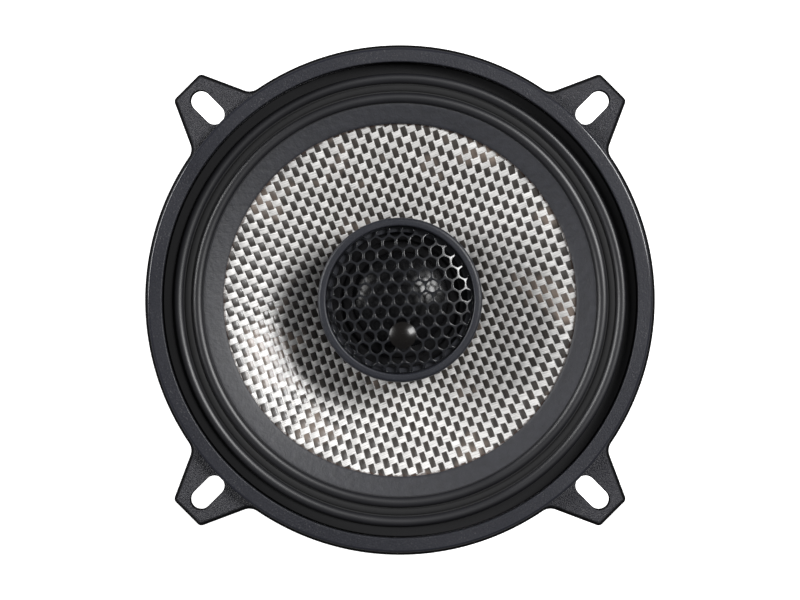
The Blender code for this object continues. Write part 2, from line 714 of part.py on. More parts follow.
def make_surround():
    radii = [GLUE_LIP_INNER, GLUE_LIP_OUTER]
    for centre, half, parts in ((INNER_ROLL_CENTRE, ROLL_HALF, 4), (RIDGE_CENTRE, RIDGE_HALF, 2),
                                (OUTER_ROLL_CENTRE, ROLL_HALF, 4)):
        radii += [centre - half + 2 * half * i / parts for i in range(parts + 1)]
    radii.append(SURROUND_OUTER)
    under = [(r, surround_height(r)) for r in radii]
    over = [(r, z + SURROUND_THICKNESS) for r, z in reversed(under)]
    finished(turned("surround", under + over, ROUND_LARGE), "dark_rubber")


def make_spider():
    """Corrugated disc: glued rim on the ledge, waves, and a collar round the former."""
    waves_outer = LEDGE_OUTER - LEDGE_WIDTH - SPIDER_WAVE_SETBACK
    waves_inner = NECK_RADIUS + SPIDER_FLAT
    turns = 2 * SPIDER_WAVES
    under = [(LEDGE_OUTER - GAP, 0), (waves_outer, 0)]
    for i in range(1, turns):
        under.append((waves_outer + (waves_inner - waves_outer) * i / turns, SPIDER_WAVE_HEIGHT * (i % 2)))
    under.append((waves_inner, 0))
    under.append((NECK_RADIUS, 0))
    collar = [(NECK_RADIUS, SPIDER_COLLAR), (NECK_RADIUS + SPIDER_THICKNESS, SPIDER_COLLAR)]
    over = [(r, z + SPIDER_THICKNESS) for r, z in reversed(under[:-1])]
    over.insert(0, (NECK_RADIUS + SPIDER_THICKNESS, SPIDER_THICKNESS))
    finished(turned("spider", under + collar + over, ROUND_MEDIUM, SPIDER_Z), "spider_cloth")


def make_dust_ring():
    profile = washer_profile(POST_RADIUS + DUST_CLEARANCE, NECK_RADIUS + DUST_LAP, 0, DUST_RING_THICKNESS)
    finished(turned("dust_ring", profile, ROUND_SMALL, DUST_Z), "felt")


def make_voice_coil():
    plate_middle = PLATE_Z + PLATE_THICKNESS / 2
    low = plate_middle - WINDING_HEIGHT / 2
    former = washer_profile(FORMER_RADIUS, FORMER_OUTER, low - GAP, FORMER_TOP)
    finished(turned("voice_coil_former", former, ROUND_MEDIUM), "polyimide")
    winding = washer_profile(WINDING_RADIUS, WINDING_RADIUS + WINDING_BUILD, low, low + WINDING_HEIGHT)
    finished(turned("voice_coil_winding", winding, ROUND_MEDIUM), "copper")


# ---------------------------------------------------------------- magnet system

def make_yoke():
    """Back plate and pole in one piece, with a pocket for the nut and a groove for the wires."""
    edge = MOTOR_EDGE
    profile = [
        (NUT_POCKET_RADIUS, 0), (YOKE_RADIUS - edge, 0), (YOKE_RADIUS, edge), (YOKE_RADIUS, YOKE_THICKNESS),
        (POLE_RADIUS, YOKE_THICKNESS), (POLE_RADIUS, PLATE_TOP), (POLE_BORE, PLATE_TOP),
        (POLE_BORE, NUT_POCKET_DEPTH), (NUT_POCKET_RADIUS, NUT_POCKET_DEPTH),
    ]
    yoke = turned("yoke", profile, ROUND_MEDIUM)
    half = WIRE_GROOVE_WIDTH / 2
    low = (-half, -YOKE_RADIUS - DRILL_REACH, -DRILL_REACH)
    high = (half, DRILL_REACH - NUT_POCKET_RADIUS, WIRE_GROOVE_DEPTH)
    cut(yoke, block("wire_groove", low, high))
    finished(yoke, "zinc_steel")


def make_magnet():
    edge = MOTOR_EDGE
    outer, inner, high = MAGNET_RADIUS, MAGNET_BORE, MAGNET_THICKNESS
    profile = [(inner, 0), (outer - edge, 0), (outer, edge), (outer, high - edge), (outer - edge, high),
               (inner, high)]
    finished(turned("magnet", profile, ROUND_MEDIUM, MAGNET_Z), "ferrite")


def make_front_plate():
    plate = turned("front_plate", washer_profile(PLATE_BORE, PLATE_RADIUS, 0, PLATE_THICKNESS),
                   ROUND_MEDIUM, PLATE_Z)
    for k, place in enumerate(rivet_places()):
        hole = disc_profile(RIVET_SHANK + GAP, PLATE_TOP - RIVET_DEPTH - GAP, PLATE_TOP + DRILL_REACH)
        cut(plate, turned(f"plate_rivet_hole_{k + 1}", hole, ROUND_TINY, centre=place))
    finished(plate, "zinc_steel")


def make_rivets():
    height = RIVET_HEAD_HEIGHT
    seat = BASKET_Z + BASE_THICKNESS + GAP
    foot = PLATE_TOP - RIVET_DEPTH - seat
    profile = [(0, foot), (RIVET_SHANK, foot), (RIVET_SHANK, 0), (RIVET_HEAD, 0),
               (RIVET_HEAD, height / 3), (0.65 * RIVET_HEAD, height), (0, height)]
    for k, place in enumerate(rivet_places()):
        finished(turned(f"basket_rivet_{k + 1}", profile, ROUND_TINY, seat, place), "zinc_steel")


def make_post():
    """Post with a stud through the pole, its washer and its nut."""
    shoulder = PLATE_TOP + GAP
    top = POST_HEAD_Z + POST_HEAD_HEIGHT
    profile = [(POST_BORE, STUD_END), (STUD_RADIUS, STUD_END), (STUD_RADIUS, shoulder),
               (POST_RADIUS, shoulder), (POST_RADIUS, POST_HEAD_Z), (POST_HEAD_RADIUS, POST_HEAD_Z),
               (POST_HEAD_RADIUS, top), (POST_BORE, top)]
    finished(turned("tweeter_post", profile, ROUND_SMALL), "black_plastic")
    washer_z = NUT_POCKET_DEPTH - GAP - WASHER_THICKNESS
    washer = washer_profile(STUD_RADIUS + GAP, WASHER_RADIUS, 0, WASHER_THICKNESS)
    finished(turned("post_washer", washer, ROUND_SMALL, washer_z), "zinc_steel")
    nut_z = washer_z - GAP - NUT_HEIGHT
    corner = NUT_HALF_FLATS / math.cos(math.pi / 6)
    corners = [(corner * math.cos(k * math.pi / 3), corner * math.sin(k * math.pi / 3)) for k in range(6)]
    nut = prism("post_nut", corners, nut_z, nut_z + NUT_HEIGHT)
    bore = disc_profile(STUD_RADIUS + GAP, nut_z - DRILL_REACH, nut_z + NUT_HEIGHT + DRILL_REACH)
    cut(nut, turned("nut_bore", bore, ROUND_SMALL))
    finished(nut, "zinc_steel")


# ---------------------------------------------------------------- tweeter

def make_housing():
    """Round pod with a raised floor for the cup and a channel for the wires."""
    step = HOUSING_FLOOR + HOUSING_STEP
    hole = POST_BORE + HOUSING_HOLE_PLAY
    top = HOUSING_TOP - HOUSING_Z
    support = TWEETER_CUP_OUTER - CUP_SUPPORT
    profile = [(hole, 0), (HOUSING_RADIUS - HOUSING_TAPER, 0), (HOUSING_RADIUS, HOUSING_TAPER),
               (HOUSING_RADIUS, top), (HOUSING_INNER, top), (HOUSING_INNER, step), (support, step),
               (support, HOUSING_FLOOR), (hole, HOUSING_FLOOR)]
    housing = turned("tweeter_housing", profile, ROUND_MEDIUM, HOUSING_Z)
    low = (-WIRE_CHANNEL_HALF, -(HOUSING_INNER - CHANNEL_WALL), HOUSING_Z + HOUSING_FLOOR + CHANNEL_FLOOR)
    high = (WIRE_CHANNEL_HALF, -support + DRILL_REACH, HOUSING_Z + step + DRILL_REACH)
    cut(housing, block("wire_channel", low, high))
    finished(housing, "black_plastic")


def make_tweeter_motor():
    """Steel cup, disc magnet, top plate and damping pad."""
    depth = TWEETER_CUP_TOP - TWEETER_CUP_Z
    cup = [(0, 0), (TWEETER_CUP_OUTER, 0), (TWEETER_CUP_OUTER, depth), (TWEETER_CUP_INNER, depth),
           (TWEETER_CUP_INNER, TWEETER_CUP_BASE), (0, TWEETER_CUP_BASE)]
    finished(turned("tweeter_cup", cup, ROUND_MEDIUM, TWEETER_CUP_Z), "zinc_steel")
    disc = disc_profile(TWEETER_PLATE_RADIUS - TWEETER_MAGNET_SETBACK, 0, TWEETER_MAGNET_HEIGHT)
    finished(turned("tweeter_magnet", disc, ROUND_MEDIUM, TWEETER_MAGNET_Z), "zinc_steel")
    plate = disc_profile(TWEETER_PLATE_RADIUS, 0, TWEETER_PLATE_HEIGHT)
    finished(turned("tweeter_top_plate", plate, ROUND_MEDIUM, TWEETER_PLATE_Z), "zinc_steel")
    pad = disc_profile(0.7 * TWEETER_PLATE_RADIUS, 0, PAD_THICKNESS)
    finished(turned("tweeter_pad", pad, ROUND_SMALL, TWEETER_CUP_TOP + GAP), "felt")


def make_tweeter_diaphragm():
    """Dome with its former and coil, and the suspension round it."""
    former_low = TWEETER_PLATE_Z + TWEETER_FORMER_PLAY
    former_top = SUSPENSION_Z + SUSPENSION_THICKNESS + GAP
    outer = TWEETER_COIL_RADIUS + TWEETER_FORMER_WALL
    former = washer_profile(TWEETER_COIL_RADIUS, outer, former_low, former_top)
    finished(turned("tweeter_former", former, ROUND_MEDIUM), "polyimide")
    coil_low = TWEETER_PLATE_Z + (TWEETER_PLATE_HEIGHT - TWEETER_COIL_HEIGHT) / 2
    coil_outer = TWEETER_COIL_INNER + TWEETER_COIL_BUILD
    coil = washer_profile(TWEETER_COIL_INNER, coil_outer, 0, TWEETER_COIL_HEIGHT)
    finished(turned("tweeter_coil", coil, ROUND_MEDIUM, coil_low), "copper")

    ball = (outer ** 2 + DOME_HEIGHT ** 2) / (2 * DOME_HEIGHT)
    lean = math.asin(outer / ball)
    steps = 5
    leans = [lean * (1 - i / steps) for i in range(steps + 1)]
    over = [(ball * math.sin(a), DOME_HEIGHT - ball * (1 - math.cos(a))) for a in leans]
    inner_ball = ball - DOME_THICKNESS
    under = [(inner_ball * math.sin(a), DOME_HEIGHT - ball + inner_ball * math.cos(a))
             for a in leans[::-1]]
    finished(turned("tweeter_dome", over + under, ROUND_MEDIUM, former_top + GAP), "dome_cloth")

    inner = outer + GAP
    roll_outer = inner + 2.6 * SUSPENSION_ROLL
    middle = (inner + roll_outer) / 2
    rim = HOUSING_INNER - 2 * GAP
    start = inner + SUSPENSION_FLAT
    radii = [inner] + [start + (roll_outer - start) * i / 4 for i in range(5)] + [rim]
    under = [(r, hump(r, middle, (roll_outer - inner) / 2, SUSPENSION_ROLL)) for r in radii]
    over = [(r, z + SUSPENSION_THICKNESS) for r, z in reversed(under)]
    finished(turned("tweeter_suspension", under + over, ROUND_SMALL, SUSPENSION_Z), "dome_cloth")
    clamp = washer_profile(roll_outer + GAP, HOUSING_INNER - GAP, 0, CLAMP_HEIGHT)
    finished(turned("tweeter_clamp_ring", clamp, ROUND_MEDIUM, CLAMP_Z), "black_plastic")


def make_bezel():
    """Rounded ring on the housing, with an inner shelf that the grille's rim rests on."""
    edge = BEZEL_EDGE
    shelf = GRILLE_Z - GAP - BEZEL_Z
    shelf_inner = BEZEL_INNER - BEZEL_SHELF_WIDTH
    profile = [
        (BEZEL_RADIUS, 0), (BEZEL_RADIUS, BEZEL_HEIGHT - edge),
        (BEZEL_RADIUS - 0.3 * edge, BEZEL_HEIGHT - 0.3 * edge),
        (BEZEL_RADIUS - edge, BEZEL_HEIGHT), (BEZEL_INNER + 0.4 * edge, BEZEL_HEIGHT),
        (BEZEL_INNER, BEZEL_HEIGHT - 0.4 * edge), (BEZEL_INNER, shelf), (shelf_inner, shelf),
        (shelf_inner, shelf - BEZEL_SHELF_HEIGHT), (HOUSING_INNER, shelf - BEZEL_SHELF_HEIGHT),
        (HOUSING_INNER, 0),
    ]
    finished(turned("tweeter_bezel", profile, ROUND_LARGE, BEZEL_Z), "black_plastic")


def hexagon_centres(reach):
    """Centres of the mesh's holes that lie whole inside the reach."""
    row = HEX_PITCH * math.sqrt(3) / 2
    count = int(reach / row) + 1
    centres = []
    for j in range(-count, count + 1):
        for i in range(-count - 1, count + 2):
            x = (i + 0.5 * (j % 2)) * HEX_PITCH
            if math.hypot(x, j * row) < reach - hexagon_corner():
                centres.append((x, j * row))
    return rotated(centres, HEX_TURN)


def hexagon_corner():
    return (HEX_PITCH - HEX_WEB) / math.sqrt(3)


def grille_dome(radius):
    return GRILLE_DOME * (1 - (radius / GRILLE_RADIUS) ** 2)


def make_grille():
    """Domed steel disc, pierced all over with hexagons."""
    corner = hexagon_corner()
    rim = [(GRILLE_RADIUS * math.cos(a), GRILLE_RADIUS * math.sin(a))
           for a in (2 * math.pi * i / ROUND_LARGE for i in range(ROUND_LARGE))]
    outlines = [rim]
    for x, y in hexagon_centres(GRILLE_RADIUS - GRILLE_RIM):
        angles = (HEX_TURN + math.pi / 6 + k * math.pi / 3 for k in range(6))
        outlines.append([(x + corner * math.cos(a), y + corner * math.sin(a)) for a in angles])
    points, edges, owner = [], [], []
    for number, outline in enumerate(outlines):
        first = len(points)
        points += outline
        owner += [number] * len(outline)
        edges += [(first + i, first + (i + 1) % len(outline)) for i in range(len(outline))]
    places, _, faces, origins, _, _ = delaunay_2d_cdt([Vector(p) for p in points], edges, [], 0, MERGE)

    bm = bmesh.new()
    levels = []
    for lift in (0, GRILLE_THICKNESS):
        levels.append([bm.verts.new((p.x, p.y, grille_dome(p.length) + lift)) for p in places])
    for face in faces:
        owners = {owner[origins[v][0]] for v in face}
        if len(owners) == 1 and 0 not in owners:
            continue
        for level in levels:
            bm.faces.new([level[v] for v in face])
    under, over = levels
    place_of = {origin: v for v, origin_list in enumerate(origins) for origin in origin_list}
    for a, b in edges:
        p, q = place_of[a], place_of[b]
        bm.faces.new((under[p], under[q], over[q], over[p]))
    finished(object_from(bm, "tweeter_grille", (0, 0, GRILLE_Z)), "mesh_steel")


def make_badge():
    """Blank domed disc on the grille."""
    far = math.hypot(BADGE_X, BADGE_Y) - BADGE_RADIUS
    seat = GRILLE_Z + grille_dome(max(far, 0)) + GRILLE_THICKNESS + GAP
    profile = [(0, 0), (BADGE_RADIUS, 0), (BADGE_RADIUS, 0.5 * BADGE_THICKNESS),
               (BADGE_RADIUS - 0.4 * BADGE_THICKNESS, BADGE_THICKNESS),
               (0.5 * BADGE_RADIUS, BADGE_THICKNESS + 0.75 * BADGE_DOME), (0, BADGE_THICKNESS + BADGE_DOME)]
    finished(turned("badge", profile, ROUND_SMALL, seat, (BADGE_X, BADGE_Y)), "gloss_black")


# ---------------------------------------------------------------- terminals and wiring

def turned_along_y(name, profile, segments, place, finish):
    """A turned piece whose profile's height runs towards -Y from the place."""
    obj = turned(name, profile, segments)
    obj.rotation_euler = (math.pi / 2, 0, 0)
    obj.location = place
    return finished(obj, finish)


def make_terminal_board():
    low = (-BOARD_HALF_WIDTH, BOARD_FACE_Y, BOARD_Z)
    high = (BOARD_HALF_WIDTH, BOARD_Y, BOARD_Z + BOARD_HEIGHT)
    board = block("terminal_board", low, high)
    near, far = BOARD_FACE_Y - DRILL_REACH, BOARD_Y + DRILL_REACH
    screw_z = BOARD_Z + BOARD_SCREW_HEIGHT
    for side, x, z in (("left", -BOARD_SCREW_X, screw_z), ("right", BOARD_SCREW_X, screw_z),
                       ("positive", -TERMINAL_X, TERMINAL_Z), ("negative", TERMINAL_X, TERMINAL_Z)):
        cut(board, cross_drill(f"board_hole_{side}", x, z, SMALL_SHANK + GAP, near, far))
    finished(board, "board")
    length = BOARD_THICKNESS + 2 * GAP + SCREW_GRIP
    head = SCREW_HEAD_HEIGHT
    screw = [(0, -length), (SMALL_SHANK, -length), (SMALL_SHANK, 0), (SMALL_HEAD, 0),
             (SMALL_HEAD, head / 2), (0.6 * SMALL_HEAD, head), (0, head)]
    for side, x in (("left", -BOARD_SCREW_X), ("right", BOARD_SCREW_X)):
        turned_along_y(f"board_screw_{side}", screw, ROUND_TINY, (x, TERMINAL_Y, screw_z), "zinc_steel")


def make_terminal(name, x, width):
    """A spade terminal bent from strip: a foot on the board and a blade out of it."""
    foot_low = TERMINAL_Z - 0.43 * TERMINAL_FOOT
    foot_top = foot_low + TERMINAL_FOOT
    back, front = TERMINAL_Y, TERMINAL_Y - BLADE_THICKNESS
    tip = front - BLADE_LENGTH
    under = foot_top - BLADE_THICKNESS
    side = [(back, foot_low), (back, foot_top), (tip, foot_top), (tip, under), (front, under),
            (front, foot_low)]
    loops = [[(x + half, y, z) for y, z in side] for half in (-width / 2, width / 2)]
    terminal = lofted(name, loops)
    hole = SMALL_SHANK + GAP
    cut(terminal, cross_drill(f"{name}_hole", x, TERMINAL_Z, hole, front - DRILL_REACH,
                              back + DRILL_REACH))
    lock = disc_profile(LOCK_HOLE_RADIUS, under - DRILL_REACH, foot_top + DRILL_REACH)
    cut(terminal, turned(f"{name}_lock_hole", lock, ROUND_TINY, centre=(x, tip + 0.32 * BLADE_LENGTH)))
    finished(terminal, "tin")

    seat = front - GAP
    inner_head = BOARD_Y + GAP
    reach = inner_head - seat
    head = TERMINAL_RIVET_HEIGHT
    rivet = [(0, -reach - head), (0.85 * SMALL_HEAD, -reach - head), (0.85 * SMALL_HEAD, -reach),
             (SMALL_SHANK, -reach), (SMALL_SHANK, 0), (SMALL_HEAD, 0), (0.8 * SMALL_HEAD, head), (0, head)]
    turned_along_y(f"{name}_rivet", rivet, ROUND_TINY, (x, seat, TERMINAL_Z), "tin")


def make_capacitor():
    """Capacitor lying along the board, with a lead out of each end."""
    half = CAPACITOR_LENGTH / 2
    edge = CAPACITOR_EDGE
    profile = [(0, -half), (CAPACITOR_RADIUS - edge, -half), (CAPACITOR_RADIUS, edge - half),
               (CAPACITOR_RADIUS, half - 3 * edge), (CAPACITOR_RADIUS - edge, half - 2.4 * edge),
               (CAPACITOR_RADIUS - edge, half - 1.6 * edge), (CAPACITOR_RADIUS, half - edge),
               (CAPACITOR_RADIUS - edge, half), (0, half)]
    capacitor = turned("crossover_capacitor", profile, ROUND_SMALL)
    capacitor.rotation_euler = (0, math.pi / 2, 0)
    capacitor.location = (0, CAPACITOR_Y, CAPACITOR_Z)
    finished(capacitor, "blue_sleeve")

    end = half + GAP + LEAD_RADIUS / 2
    solder_y = TERMINAL_Y - BLADE_THICKNESS - GAP - 2 * LEAD_RADIUS + SOLDER_SINK
    wire("capacitor_lead_out", [
        (-end, CAPACITOR_Y, CAPACITOR_Z),
        (-end - 0.0018, CAPACITOR_Y, CAPACITOR_Z + 0.0003),
        (-end - 0.0028, CAPACITOR_Y + 0.0002, CAPACITOR_Z + 0.0024),
        (-end - 0.0026, CAPACITOR_Y + 0.0010, CAPACITOR_Z + 0.0052),
        (-TERMINAL_X - SOLDER_REACH, solder_y, TERMINAL_Z - 0.0012),
    ], LEAD_RADIUS, "tin")
    wire("capacitor_lead_in", [
        (end, CAPACITOR_Y, CAPACITOR_Z),
        (end + 0.0018, CAPACITOR_Y, CAPACITOR_Z - 0.0002),
        (end + 0.0031, CAPACITOR_Y - 0.0002, CAPACITOR_Z - 0.0014),
        (end + 0.0034, CAPACITOR_Y - 0.0002, CAPACITOR_Z - 0.0032),
    ], LEAD_RADIUS, "tin")


def make_tinsel_leads():
    """Braided leads from the terminals' rivets, over the spider, to the former."""
    start_y = BOARD_Y + GAP + TERMINAL_RIVET_HEIGHT + GAP
    landing = SPIDER_Z + SPIDER_COLLAR + (NECK_Z - SPIDER_Z - SPIDER_COLLAR) / 2
    touch = FORMER_OUTER + 2 * GAP + TINSEL_RADIUS / 2
    rise = TERMINAL_Z
    for name, side in (("positive_tinsel_lead", -1), ("negative_tinsel_lead", 1)):
        land_x = 0.30 * touch
        land_y = -math.sqrt(touch ** 2 - land_x ** 2)
        wire(name, [
            (side * TERMINAL_X, start_y, rise),
            (side * 0.96 * TERMINAL_X, start_y + 0.0040, rise + 0.0014),
            (side * 0.85 * TERMINAL_X, 0.7 * start_y, rise + 0.0008),
            (side * 0.68 * TERMINAL_X, 0.52 * start_y, landing + 0.0012),
            (side * land_x * 1.12, land_y - 0.0020, landing + 0.0001),
            (side * land_x, land_y, landing),
        ], TINSEL_RADIUS, "copper")


def make_tweeter_wires():
    """Two wires from the tweeter, down the post, along the yoke's groove and up to the terminals."""
    inside_y = -(TWEETER_CUP_OUTER + TWEETER_WIRE_SPACE / 2)
    floor = HOUSING_Z + HOUSING_FLOOR + 2 * CHANNEL_FLOOR + WIRE_RADIUS
    groove = WIRE_GROOVE_DEPTH / 2 + WIRE_GROOVE_PLAY
    beside_magnet = -(MAGNET_RADIUS + 3 * GAP + WIRE_RADIUS)
    plate_middle = PLATE_Z + PLATE_THICKNESS / 2
    bend = 0.0012
    ends = {
        "positive_tweeter_wire": (-WIRE_OFFSET, [
            (0.0010, beside_magnet - 0.0030, plate_middle),
            (0.0064, CAPACITOR_Y + 0.0002, plate_middle + 0.0016),
            (0.0106, CAPACITOR_Y - 0.0004, plate_middle + 0.0028),
            (0.0112, CAPACITOR_Y - 0.0002, CAPACITOR_Z - 0.0042),
        ], "red_insulation"),
        "negative_tweeter_wire": (WIRE_OFFSET, [
            (0.0030, beside_magnet - 0.0014, plate_middle - 0.0010),
            (0.0090, beside_magnet - 0.0031, plate_middle + 0.0010),
            (0.0129, BOARD_FACE_Y - 0.0023, BOARD_Z + 0.0005),
            (0.0134, BOARD_FACE_Y - 0.0025, CAPACITOR_Z + 0.0003),
            (0.0119, BOARD_FACE_Y - 0.0021, CAPACITOR_Z + 0.0050),
            (TERMINAL_X + 0.0026, TERMINAL_Y - BLADE_THICKNESS - GAP - WIRE_RADIUS, TERMINAL_Z - 0.0012),
        ], "dark_insulation"),
    }
    for name, (x, finish_route, finish) in ends.items():
        route = [
            (x, inside_y, TWEETER_CUP_TOP - GAP),
            (x, inside_y, TWEETER_CUP_Z + bend),
            (x, inside_y + bend, floor),
            (x, -0.6 * TWEETER_CUP_OUTER, floor),
            (x, -2.0 * bend, floor),
            (x, -0.2 * bend, floor - bend),
            (x, 0, HOUSING_Z - bend),
            (x, 0, PLATE_TOP),
            (x, 0, STUD_END + bend),
            (x, -0.5 * bend, groove + 0.3 * bend),
            (x, -1.8 * bend, groove),
            (x, -0.5 * YOKE_RADIUS, groove),
            (x, beside_magnet + 1.5 * bend, groove),
            (x, beside_magnet, groove + 1.6 * bend),
            (x, beside_magnet, PLATE_Z - 2 * bend),
        ]
        wire(name, route + finish_route, WIRE_RADIUS, finish)


def main():
    clear_scene()
    make_basket()
    make_trim_ring()
    make_mounting_gasket()
    make_cone()
    make_surround()
    make_spider()
    make_dust_ring()
    make_voice_coil()
    make_yoke()
    make_magnet()
    make_front_plate()
    make_rivets()
    make_post()
    make_housing()
    make_tweeter_motor()
    make_tweeter_diaphragm()
    make_bezel()
    make_grille()
    make_badge()
    make_terminal_board()
    make_terminal("positive_terminal", -TERMINAL_X, POSITIVE_WIDTH)
    make_terminal("negative_terminal", TERMINAL_X, NEGATIVE_WIDTH)
    make_capacitor()
    make_tinsel_leads()
    make_tweeter_wires()


main()
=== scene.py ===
"""Looks of a coaxial car speaker of the 13 cm class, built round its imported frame.

The file is laid out as an add-on and run as a script. Each operator makes one piece, or one
group of like pieces, at the place that the frame gives, and main() calls them in order.
"""

import json
import math

import bmesh
import bpy
from mathutils import Matrix, Vector


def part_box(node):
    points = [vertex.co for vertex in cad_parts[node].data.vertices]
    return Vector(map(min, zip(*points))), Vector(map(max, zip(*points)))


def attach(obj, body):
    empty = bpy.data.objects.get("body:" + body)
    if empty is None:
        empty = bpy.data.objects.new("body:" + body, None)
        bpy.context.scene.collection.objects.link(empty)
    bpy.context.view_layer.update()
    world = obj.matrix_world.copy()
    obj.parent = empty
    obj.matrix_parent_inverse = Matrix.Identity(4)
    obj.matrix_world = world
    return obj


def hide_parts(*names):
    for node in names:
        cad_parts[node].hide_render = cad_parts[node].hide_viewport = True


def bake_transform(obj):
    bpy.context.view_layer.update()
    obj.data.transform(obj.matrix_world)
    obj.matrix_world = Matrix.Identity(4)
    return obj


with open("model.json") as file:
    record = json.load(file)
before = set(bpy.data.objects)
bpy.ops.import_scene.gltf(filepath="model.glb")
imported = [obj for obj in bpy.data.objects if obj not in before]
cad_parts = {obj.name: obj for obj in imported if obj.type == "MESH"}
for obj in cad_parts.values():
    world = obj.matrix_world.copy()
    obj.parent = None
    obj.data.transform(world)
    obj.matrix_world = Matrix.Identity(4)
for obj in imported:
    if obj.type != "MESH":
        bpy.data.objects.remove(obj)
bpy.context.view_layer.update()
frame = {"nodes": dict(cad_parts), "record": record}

bl_info = {
    "name": "Coaxial speaker looks",
    "version": (1, 0, 0),
    "blender": (4, 5, 0),
    "location": "View3D > Sidebar > Speaker",
    "description": "Makes the finished pieces of a coaxial speaker round its packed frame",
    "category": "Object",
}

GAP = 0.0003  # between two pieces that touch
TURNED = 192  # facets round a turned piece of middle size
SMALL_TURNED = 96
HEAD_TURNED = 48
HOLE_TURNED = 32
RIVET_BORE = 0.0017  # holes that the basket's rivets pass
BOARD_BORE = 0.0013  # holes that the board's rivets and screws pass
RECESS_WIDTH = 0.0024  # flat of the surround outside its outer roll
MERGE = 0.000005
SHARP = math.radians(38)


def radius_of(node):
    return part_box(node)[1].x


def top_of(node):
    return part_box(node)[1].z


def foot_of(node):
    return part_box(node)[0].z


# Levels and radii that the frame gives
FLANGE_RADIUS = radius_of("basket")
FLANGE_TOP = top_of("basket")
FLANGE_BACK = top_of("mounting_gasket") + GAP
BASKET_FOOT = foot_of("basket")
LEDGE_TOP = foot_of("spider") - GAP
SPIDER_RADIUS = radius_of("spider")
CUP_RADIUS = SPIDER_RADIUS + 0.0019
SURROUND_RADIUS = radius_of("surround")
SEAT_RADIUS = SURROUND_RADIUS + GAP
CONE_RADIUS = radius_of("cone")
CONE_NECK = radius_of("voice_coil_former") + GAP
CONE_FOOT = foot_of("cone")
CONE_TOP = top_of("cone")
POD_RADIUS = radius_of("tweeter_housing")
POD_INNER = radius_of("tweeter_clamp_ring") + GAP
BEZEL_RADIUS = radius_of("tweeter_bezel")
GRILLE_RADIUS = radius_of("tweeter_grille")
DOME_RADIUS = radius_of("tweeter_dome")


